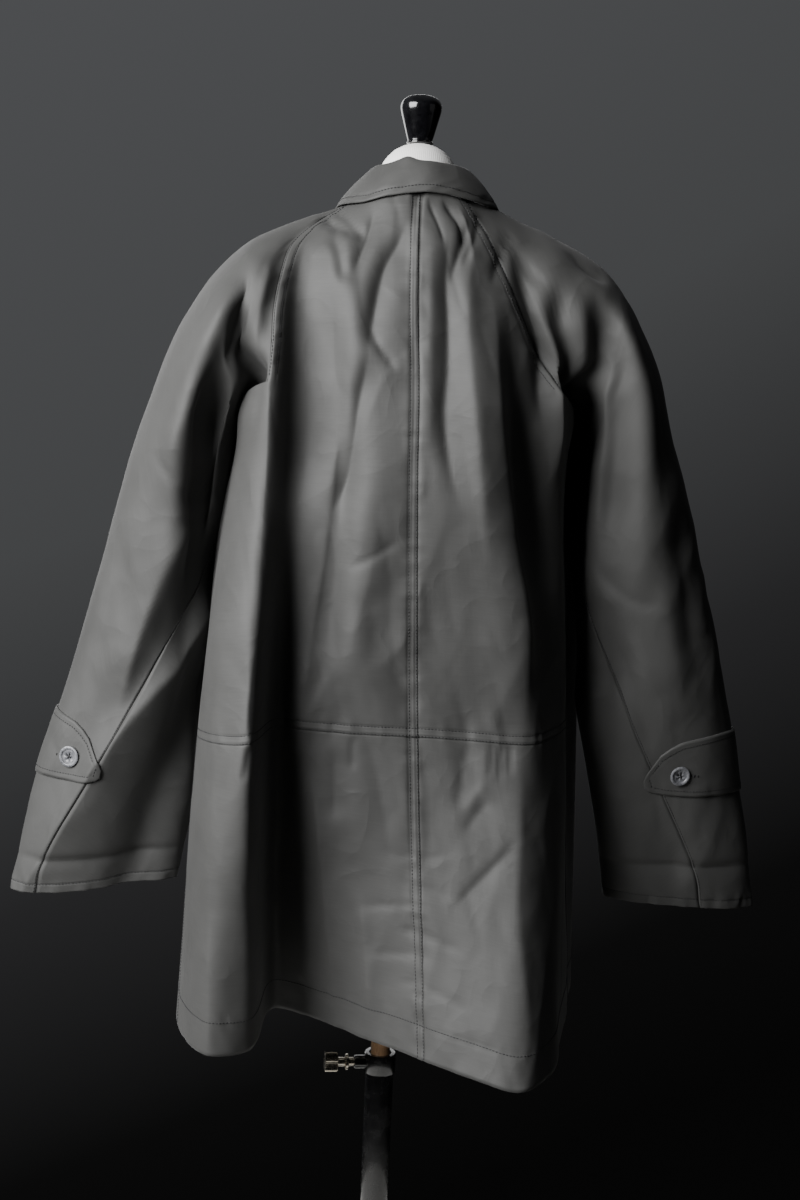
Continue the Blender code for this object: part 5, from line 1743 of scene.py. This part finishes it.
    def stitch(self, stitching: Stitching) -> None:
        """Sews the hindarm seams, cuffs and tab edges.

        Args:
            stitching: Thread that takes the rows.
        """
        for side in Side:
            top = self.panels[f"top_sleeve_{side.word}"]
            under = self.panels[f"under_sleeve_{side.word}"]
            tab = self.panels[f"tab_{side.word}"]
            stitching.row(top.inset(1, self.seam_row, True))
            for panel in (top, under):
                stitching.row(panel.inset(0, self.hem_row, True))
            inner = slice(7, None)
            for from_end in (False, True):
                stitching.row(tab.inset(1, self.tab_row, from_end, rows=inner))
            spots, normals = tab.inset(0, 0.008)
            stitching.row((spots[5:-5], normals[5:-5]))
            spots, normals = self.holes[side]
            for rise in (-0.0009, 0.0, 0.0009):
                stitching.row((spots + np.array((0.0, 0.0, rise)), normals))
            bar = np.linspace(-0.0026, 0.0026, 5)[:, None] * np.array((0.0, 0.0, 1.0))
            stitching.row((spots[-1] + bar, np.repeat(normals[-1:], 5, 0)))


@dataclass
class Collar:
    """Fold-over collar: a stand round the neck and a fall over it, stitched near its edge."""

    wall: float = 0.0016
    stitch_in: float = 0.0078
    end_turn: float = 176.0
    turn_count: int = 150
    line_count: int = 34
    # Left and right ends of the fall settle onto the shoulders
    lie_down: tuple[float, float] = (0.0045, 0.0012)
    # Degrees from centre back, then neck, fold and fall edge as x y z
    rows: tuple[tuple[float, ...], ...] = (
        (0.0, 0.000, -0.0775, 1.4578, 0.000, -0.0745, 1.489, 0.000, -0.0945, 1.4550),
        (45.0, 0.047, -0.0570, 1.4575, 0.0385, -0.0520, 1.4875, 0.0625, -0.0740, 1.4480),
        (90.0, 0.066, -0.0080, 1.4510, 0.0515, -0.0060, 1.483, 0.0900, -0.0050, 1.4470),
        (135.0, 0.046, 0.0420, 1.4290, 0.042, 0.0440, 1.462, 0.0800, 0.0800, 1.4080),
        (176.0, 0.004, 0.0600, 1.4030, 0.005, 0.0620, 1.432, 0.0600, 0.1270, 1.3520))

    def panel(self) -> ClothPanel:
        """Makes the collar's grid.

        Returns:
            Collar from front end to front end.
        """
        table = np.array(self.rows)
        turns = np.linspace(-self.end_turn, self.end_turn, self.turn_count)
        mirror = np.concatenate([[-table[1, 0]], table[:, 0]])
        values = np.concatenate([[table[1, 1:] * np.tile((-1.0, 1.0, 1.0), 3)], table[:, 1:]])
        spots = hermite(mirror, values, np.abs(turns)).reshape(-1, 3, 3)
        spots[:, :, 0] *= np.where(turns < 0, -1.0, 1.0)[:, None]
        settled = np.exp(-((np.abs(turns) - 68.0) / 30.0) ** 2)
        spots[:, 2, 2] -= np.where(turns < 0, *self.lie_down) * settled
        lines = []
        for neck, fold, edge in spots:
            out = (edge - neck) * (1.0, 1.0, 0.0)
            out /= np.linalg.norm(out)
            shoulder = fold + out * 0.0075 - np.array((0.0, 0.0, 0.0035))
            bow = out * 0.0025
            lines.append(along([neck, neck * 0.55 + fold * 0.45, neck * 0.12 + fold * 0.88,
                                fold + out * 0.0030, shoulder, shoulder * 0.67 + edge * 0.33 + bow,
                                shoulder * 0.33 + edge * 0.67 + bow, edge],
                               np.linspace(0, 1, self.line_count)))
        points = np.array(lines)
        panel = ClothPanel("collar", points, True, self.wall)
        number = np.arange(self.line_count)[None]
        fall = ease((number - 12) / 8.0)
        round_it = np.radians(turns)[:, None] * 0.08
        wave = lattice_noise(round_it / 0.022, number / 14.0, Seed.COLLAR)
        push = 0.0011 * wave * (0.3 + 0.7 * fall)
        push += 0.0009 * fall * lattice_noise(round_it / 0.050, number / 30.0, Seed.COLLAR_FALL)
        from_edge = arc(points, 1, self.line_count - 1)
        push += seam_relief(from_edge, (self.stitch_in,), arc(points, 0), Seed.COLLAR_EDGE)
        panel.points = points + panel.normals() * push[..., None]
        peak = 0.0045 * np.exp(-((points[..., 0] + 0.022) / 0.009) ** 2) * (points[..., 1] < 0)
        panel.points[..., 2] += peak * np.exp(-((number - 13) / 5.0) ** 2)
        return panel


def turned(name: str, profile: Sequence[tuple[float, float]], material: bpy.types.Material,
           segments: int = 72,
           flutes: Optional[tuple[int, float, float, float]] = None) -> bpy.types.Object:
    """Turned piece spun about Z.

    Args:
        name: Piece name.
        profile: Radius and height from top to bottom.
        material: Finish.
        segments: Steps round the piece.
        flutes: Count, depth, lowest and highest height of a knurl.

    Returns:
        The turned object.
    """
    radius, height = np.array(profile).T
    turn = np.arange(segments) * math.tau / segments
    spread = np.repeat(radius[:, None], segments, 1)
    if flutes is not None:
        count, depth, low, high = flutes
        knurled = (height > low) & (height < high)
        spread = spread - depth * knurled[:, None] * (0.5 + 0.5 * np.cos(turn * count))
    points = np.stack([spread * np.cos(turn), spread * np.sin(turn),
                       np.repeat(height[:, None], segments, 1)], -1).reshape(-1, 3)
    step = np.arange(segments)
    other = (step + 1) % segments
    faces = [np.stack([k * segments + step, (k + 1) * segments + step, (k + 1) * segments + other,
                       k * segments + other], -1) for k in range(len(radius) - 1)]
    item = mesh_object(name, points, np.concatenate(faces), material)
    weld = item.modifiers.new("weld", "WELD")
    weld.merge_threshold = 1e-6
    item.data.set_sharp_from_angle(angle=math.radians(40.0))
    return item


def smooth_profile(points: Sequence[tuple[float, float]], count: int) -> list[tuple[float, float]]:
    """Rounder profile through a few turned sizes.

    Args:
        points: Radius and height of each size.
        count: Number of points wanted.

    Returns:
        Radius and height along the smooth profile.
    """
    return [tuple(row) for row in along(points, np.linspace(0.0, 1.0, count))]


@dataclass
class Buttons:
    """Four-hole buttons with a rim and a well, and the thread that holds them."""

    radius: float = 0.0115
    height: float = 0.0040
    hole_radius: float = 0.0011
    hole_pitch: float = 0.0021
    front_heights: tuple[float, ...] = (1.33, 1.19, 1.05, 0.91, 0.77)

    def blank(self, resin: bpy.types.Material) -> bpy.types.Mesh:
        """Turns and drills one button.

        Args:
            resin: Button finish.

        Returns:
            The button's mesh, its back on the ground plane.
        """
        rim, top = self.radius, self.height
        item = turned("button_blank", (
            (0.0, top * 0.62), (rim * 0.58, top * 0.62), (rim * 0.66, top * 0.66),
            (rim * 0.73, top * 0.90), (rim * 0.80, top), (rim * 0.92, top * 0.97),
            (rim * 0.99, top * 0.80), (rim, top * 0.62), (rim * 0.97, top * 0.40),
            (rim * 0.80, 0.0), (0.0, 0.0)), resin, 64)
        drills = []
        for number in range(4):
            drill = turned(f"drill_{number}", ((0.0, 0.01), (self.hole_radius, 0.01),
                                               (self.hole_radius, -0.01), (0.0, -0.01)), resin, 20)
            turn = math.pi / 4 + math.pi / 2 * number
            pitch = self.hole_pitch
            drill.location = (math.cos(turn) * pitch, math.sin(turn) * pitch, 0.0)
            bore = item.modifiers.new(f"bore_{number}", "BOOLEAN")
            bore.object = drill
            bore.solver = "EXACT"
            drills.append(drill)
        graph = bpy.context.evaluated_depsgraph_get()
        mesh = bpy.data.meshes.new_from_object(item.evaluated_get(graph))
        for spare in (item, *drills):
            bpy.data.objects.remove(spare, do_unlink=True)
        return mesh

    def sew(self, name: str, mesh: bpy.types.Mesh, foot: np.ndarray, normal: np.ndarray,
            tilt: float, pattern: ThreadPattern, thread: Stitching) -> bpy.types.Object:
        """Places one button and threads its holes.

        Args:
            name: Piece name.
            mesh: Button mesh.
            foot: Place of the button's back.
            normal: Direction that it faces.
            tilt: Turn in its own plane, radians.
            pattern: How its holes are threaded.
            thread: Thread that takes the bars.

        Returns:
            The button's object.
        """
        item = bpy.data.objects.new(name, mesh)
        bpy.context.scene.collection.objects.link(item)
        facing = Vector(normal).to_track_quat("Z", "Y").to_matrix().to_4x4()
        place = Matrix.Translation(Vector(foot)) @ facing @ Matrix.Rotation(tilt, 4, "Z")
        item.matrix_world = place
        corner = self.hole_pitch / math.sqrt(2.0)
        pairs = [((-corner, -corner), (corner, corner)), ((-corner, corner), (corner, -corner))]
        if pattern is ThreadPattern.BARS:
            pairs = [((-corner, -corner), (corner, -corner)), ((-corner, corner), (corner, corner))]
        for first, last in pairs:
            line = np.linspace((*first, self.height * 0.66), (*last, self.height * 0.66), 12)
            reach = np.linalg.norm(line[-1] - line[0])
            line = np.concatenate([line[:1] - (line[-1:] - line[:1]) * 0.001 / reach, line,
                                   line[-1:] + (line[-1:] - line[:1]) * 0.0005 / reach])
            spots = np.array([place @ Vector(spot) for spot in line])
            thread.length = reach
            thread.row((spots, np.repeat(np.asarray(normal)[None], len(spots), 0)))
        return item


@dataclass
class DressForm:
    """Limbless form: jersey-covered torso, lacquered neck cap and turned finial."""

    cap_radius: float = 0.0145
    cap_height: float = 0.0026
    columns: int = 96
    # Height, half width, back depth, front depth
    sections: tuple[tuple[float, ...], ...] = (
        (0.770, 0.138, 0.083, 0.083), (0.785, 0.148, 0.092, 0.092), (0.850, 0.155, 0.100, 0.098),
        (0.930, 0.150, 0.098, 0.095), (1.040, 0.130, 0.088, 0.090), (1.140, 0.138, 0.098, 0.108),
        (1.230, 0.148, 0.110, 0.112), (1.320, 0.152, 0.108, 0.084), (1.370, 0.156, 0.094, 0.060),
        (1.400, 0.142, 0.080, 0.044), (1.415, 0.116, 0.070, 0.036), (1.427, 0.088, 0.060, 0.033),
        (1.437, 0.064, 0.052, 0.034), (1.446, 0.051, 0.048, 0.037), (1.460, 0.0470, 0.0465, 0.041),
        (1.474, 0.0462, 0.0462, 0.0430), (1.488, 0.0430, 0.0435, 0.0420),
        (1.500, 0.0365, 0.0370, 0.0365), (1.509, 0.0280, 0.0285, 0.0280),
        (1.5145, 0.0185, 0.0185, 0.0185), (1.5170, 0.0105, 0.0105, 0.0105))
    finial: tuple[tuple[float, float], ...] = (
        (0.0, 1.5690), (0.0080, 1.5686), (0.0150, 1.5668), (0.0200, 1.5630), (0.0222, 1.5580),
        (0.0220, 1.5530), (0.0200, 1.5450), (0.0170, 1.5340), (0.0148, 1.5260), (0.0137, 1.5225),
        (0.0134, 1.5204))

    def torso(self, jersey: bpy.types.Material) -> bpy.types.Object:
        """Makes the covered torso with its domed neck.

        Args:
            jersey: Cover finish.

        Returns:
            The torso's object.
        """
        table = np.array(self.sections)
        even = np.linspace(table[0, 0], table[-1, 0], 110)
        heights = np.unique(np.concatenate([even, table[:, 0]]))
        width, back, front = hermite(table[:, 0], table[:, 1:], heights).T[:, :, None]
        count = self.columns
        turn = np.linspace(0.0, math.tau, count, endpoint=False)[None]
        y = -np.where(np.cos(turn) > 0, back, front) * np.cos(turn)
        z = np.broadcast_to(heights[:, None], y.shape)
        points = np.stack([width * np.sin(turn), y, z], -1).reshape(-1, 3)
        step = np.arange(count)
        other = (step + 1) % count
        band = np.stack([step, other, count + other, count + step], -1)
        faces = [list(face) for k in range(len(heights) - 1) for face in band + k * count]
        faces += [list(step[::-1]), list(step + (len(heights) - 1) * count)]
        item = mesh_object("torso_cover", points, faces, jersey)
        item.data.set_sharp_from_angle(angle=math.radians(50.0))
        return item

    def build(self, jersey: bpy.types.Material, lacquer: bpy.types.Material) -> None:
        """Makes the form's pieces and sets them on the model.

        Args:
            jersey: Cover finish.
            lacquer: Black lacquer.
        """
        keep(self.torso(jersey), "dressed_form", "form_cover", "torso")
        edge, top = self.cap_radius, self.cap_height
        cap = turned("neck_plate", (
            (0.0, top), (edge - 0.0020, top), (edge - 0.0008, top * 0.9), (edge, top * 0.65),
            (edge, top * 0.3), (edge - 0.0008, top * 0.08), (edge - 0.0015, 0.0), (0.0, 0.0)),
            lacquer, 96)
        cap.matrix_world = Matrix.Translation((0.0, 0.0, self.sections[-1][0] + 0.0004))
        keep(cap, "dressed_form", "black_lacquer", "neck_cap")
        profile = smooth_profile(self.finial, 60) + [(0.0, self.finial[-1][1])]
        knob = turned("turned_finial", profile, lacquer, 96)
        keep(knob, "dressed_form", "black_lacquer", "finial")


@dataclass
class Stand:
    """Wooden post in a clamped steel tube on a round base."""

    screw_height: float = 0.4855

    def build(self, beech: bpy.types.Material, enamel: bpy.types.Material,
              nickel: bpy.types.Material) -> None:
        """Makes the stand's pieces and sets them on the model.

        Args:
            beech: Post finish.
            enamel: Tube, clamp and base finish.
            nickel: Screw finish.
        """
        keep(turned("beech_post", (
            (0.0, 0.7695), (0.0105, 0.7695), (0.0110, 0.7690), (0.0110, 0.2220), (0.0090, 0.2200),
            (0.0, 0.2200)), beech), "post", "post_wood", "post")
        keep(turned("steel_tube", (
            (0.0125, 0.4735), (0.0155, 0.4735), (0.0160, 0.4730), (0.0160, 0.0460), (0.0157, 0.0455),
            (0.0125, 0.0455), (0.0125, 0.4735)), enamel), "stand", "black_enamel", "tube")
        collar = turned("clamp_ring", (
            (0.0125, 0.4965), (0.0130, 0.4970), (0.0172, 0.4970), (0.0180, 0.4962), (0.0180, 0.4748),
            (0.0175, 0.4742), (0.0125, 0.4742), (0.0125, 0.4965)), enamel)
        screw_axis = (Matrix.Translation((0.0, 0.0, self.screw_height))
                      @ Matrix.Rotation(-math.pi / 2, 4, "Y"))
        boss = turned("clamp_boss", (
            (0.0036, 0.0300), (0.0066, 0.0300), (0.0075, 0.0292), (0.0075, 0.0165), (0.0036, 0.0165),
            (0.0036, 0.0300)), enamel, 48)
        boss.matrix_world = screw_axis
        keep(collar, "stand", "black_enamel", "clamp")
        keep(boss, "stand", "black_enamel")
        screw = turned("knurled_screw", (
            (0.0, 0.0636), (0.0088, 0.0636), (0.0095, 0.0640), (0.0104, 0.0636), (0.0110, 0.0630),
            (0.0110, 0.0500), (0.0103, 0.0493), (0.0095, 0.0490), (0.0052, 0.0488), (0.0050, 0.0410),
            (0.0084, 0.0402), (0.0090, 0.0396), (0.0090, 0.0374), (0.0084, 0.0368), (0.0050, 0.0360),
            (0.0048, 0.0308), (0.0030, 0.0306), (0.0030, 0.0120), (0.0, 0.0120)), nickel, 120,
            (30, 0.0011, 0.0495, 0.0633))
        screw.matrix_world = screw_axis
        keep(screw, "thumbscrew", "nickel", "thumbscrew")
        keep(turned("round_base", (
            (0.0, 0.0450), (0.0210, 0.0450), (0.0228, 0.0444), (0.0240, 0.0430), (0.0246, 0.0360),
            (0.0256, 0.0325), (0.0275, 0.0298), (0.0310, 0.0278), (0.0900, 0.0226), (0.1500, 0.0180),
            (0.1620, 0.0160), (0.1672, 0.0136), (0.1694, 0.0118), (0.1700, 0.0100), (0.1700, 0.0012),
            (0.1692, 0.0), (0.0, 0.0)), enamel, 128), "stand", "black_enamel", "base")


def keep(piece: bpy.types.Object, body: str, slot: str, *nodes: str) -> None:
    """Sets a piece on its body and hides the solids that it stands for.

    Args:
        piece: Piece of the scene.
        body: Body that carries it.
        slot: Name of the piece's material slot; not used.
        *nodes: Solids that it replaces.
    """
    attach(piece, body)
    if nodes:
        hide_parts(*nodes)
    log.info("%s rides on %s", piece.name, body)


@dataclass
class Studio:
    """Camera at the photograph's place, a soft light from the left, dim fills and a pale floor."""

    camera_distance: float = 1.85
    camera_azimuth: float = -8.0
    camera_height: float = 1.22
    aim_height: float = 1.02
    roll: float = 2.5
    lens: float = 50.0
    floor_radius: float = 0.60
    floor_shades: tuple[str, str] = ("#cfceca", "#dddcd8")
    # Backdrop from the dim right to the left, where the window lights it
    backdrop: tuple[tuple[float, str], ...] = (
        (0.0, "#0a0a0a"), (0.08, "#101010"), (0.20, "#2a2a2b"), (0.36, "#474849"), (0.58, "#505153"))
    backdrop_slope: tuple[float, float, float] = (-0.30, 0.40, 0.70)
    # Name, place, aim, width, height, watts
    lamps: tuple[tuple[Any, ...], ...] = (
        ("window", (-1.80, -1.15, 1.95), (0.0, -0.05, 1.05), 1.7, 1.5, 155.0),
        ("front_fill", (-0.6, 2.8, 1.7), (0.0, 0.0, 1.0), 2.4, 2.0, 30.0),
        ("right_fill", (2.4, -1.6, 1.6), (0.0, 0.0, 1.0), 1.6, 1.8, 1.2))

    def camera(self) -> None:
        """Sets up the camera."""
        turn = math.radians(self.camera_azimuth)
        place = Vector((math.sin(turn), -math.cos(turn), 0.0)) * self.camera_distance
        place.z = self.camera_height
        aim = Vector((0.0, 0.0, self.aim_height)) - place
        data = bpy.data.cameras.new("photo_camera")
        data.lens = self.lens
        data.sensor_width = 36.0
        item = bpy.data.objects.new("photo_camera", data)
        look = aim.to_track_quat("-Z", "Y").to_matrix().to_4x4()
        rolled = Matrix.Rotation(math.radians(self.roll), 4, "Z")
        item.matrix_world = Matrix.Translation(place) @ look @ rolled
        bpy.context.scene.collection.objects.link(item)
        bpy.context.scene.camera = item

    def light(self) -> None:
        """Hangs the lamps and sets the plain backdrop."""
        for name, place, aim, width, height, watts in self.lamps:
            data = bpy.data.lights.new(name, "AREA")
            data.shape = "RECTANGLE"
            data.size = width
            data.size_y = height
            data.energy = watts
            item = bpy.data.objects.new(name, data)
            look = (Vector(aim) - Vector(place)).to_track_quat("-Z", "Y").to_matrix().to_4x4()
            item.matrix_world = Matrix.Translation(place) @ look
            bpy.context.scene.collection.objects.link(item)
        world = bpy.data.worlds.new("studio")
        world.use_nodes = True
        tree = world.node_tree
        look = add_node(tree, "ShaderNodeTexCoord")
        level = add_node(tree, "ShaderNodeVectorMath", {
            "operation": "DOT_PRODUCT", 1: self.backdrop_slope}, {0: look.outputs["Generated"]})
        shades = add_node(tree, "ShaderNodeValToRGB", {}, {"Fac": level.outputs["Value"]})
        ramp = shades.color_ramp.elements
        while len(ramp) < len(self.backdrop):
            ramp.new(0.5)
        for stop, (position, shade) in zip(ramp, self.backdrop):
            stop.position = position
            stop.color = linear(shade)
        tree.links.new(shades.outputs["Color"], tree.nodes["Background"].inputs["Color"])
        bpy.context.scene.world = world

    def floor(self) -> None:
        """Lays the pale floor under the stand."""
        material, tree, shader = new_material("pale_paper_floor")
        place = add_node(tree, "ShaderNodeTexCoord")
        fibre = add_node(tree, "ShaderNodeTexNoise", {"Scale": 300.0, "Detail": 3.0},
                         {"Vector": place.outputs["Object"]})
        shades = two_shades(tree, fibre.outputs["Fac"], *self.floor_shades)
        shader.inputs["Roughness"].default_value = 0.9
        tree.links.new(shades, shader.inputs["Base Color"])
        item = turned("paper_floor", ((0.0, -0.0005), (self.floor_radius, -0.0005),
                                      (self.floor_radius, -0.0040), (0.0, -0.0040)), material, 96)


def dress_coat(cloth: bpy.types.Material, thread: bpy.types.Material,
               resin: bpy.types.Material) -> None:
    """Makes the coat's panels, stitching and buttons.

    Args:
        cloth: Coat cloth.
        thread: Sewing thread.
        resin: Button resin.
    """
    form = CoatForm()
    body = CoatBody(form)
    sleeves = Sleeves(form, body)
    buttons = Buttons()
    button_mesh = buttons.blank(resin)
    button_thread = Stitching(radius=0.0006)
    stitching = Stitching()
    for side in Side:
        body.back(side)
        body.front(side)
        sleeves.build(side)
        foot, normal = sleeves.tab(side)
        pattern = ThreadPattern.CROSS if side is Side.LEFT else ThreadPattern.BARS
        item = buttons.sew(f"sewn_tab_button_{side.word}", button_mesh, foot, normal, 0.3, pattern,
                           button_thread)
        keep(item, "dressed_form", "button", f"tab_button_{side.word}")
    front = body.panels["front_left"]
    column = int(np.argmin(np.abs(front.points[20, :, 0])))
    heights = front.points[:, column, 2]
    normals = front.normals()[:, column]
    for number, height in enumerate(buttons.front_heights, 1):
        foot = np.array([np.interp(height, heights, front.points[:, column, k]) for k in range(3)])
        normal = np.array([np.interp(height, heights, normals[:, k]) for k in range(3)])
        item = buttons.sew(f"sewn_front_button_{number}", button_mesh, foot + normal * 0.0008,
                           normal, 0.2, ThreadPattern.BARS, button_thread)
        keep(item, "dressed_form", "button", f"front_button_{number}")
    collar = Collar().panel()
    body.stitch(stitching)
    sleeves.stitch(stitching)
    stitching.row(collar.inset(1, Collar.stitch_in, True))
    keep(stitching.build("seam_stitching", thread), "dressed_form", "coat_cloth")
    keep(button_thread.build("button_thread", thread), "dressed_form", "coat_cloth")
    for name, panel in {**body.panels, **sleeves.panels, "collar": collar}.items():
        item = panel.build(cloth)
        item.name = f"cloth_{name}"
        keep(item, "dressed_form", "coat_cloth", name)


def main() -> None:
    """Builds the whole scene in order."""
    logging.basicConfig(level=logging.INFO, format="%(message)s")
    studio = Studio()
    studio.camera()
    dress_coat(ProofedPoplin().make(), SewingThread().make(), HornResin().make())
    lacquer = GlossPaint("black_lacquer_on_wood", "#08080a", "#17171a", 0.12)
    enamel = GlossPaint("black_enamel_on_steel", "#0b0b0c", "#1c1c1d", 0.2)
    DressForm().build(CottonJersey().make(), lacquer.make())
    Stand().build(VarnishedBeech().make(), enamel.make(), PlatedNickel().make())
    studio.light()
    studio.floor()
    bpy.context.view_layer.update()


if __name__ == "__main__":
    main()
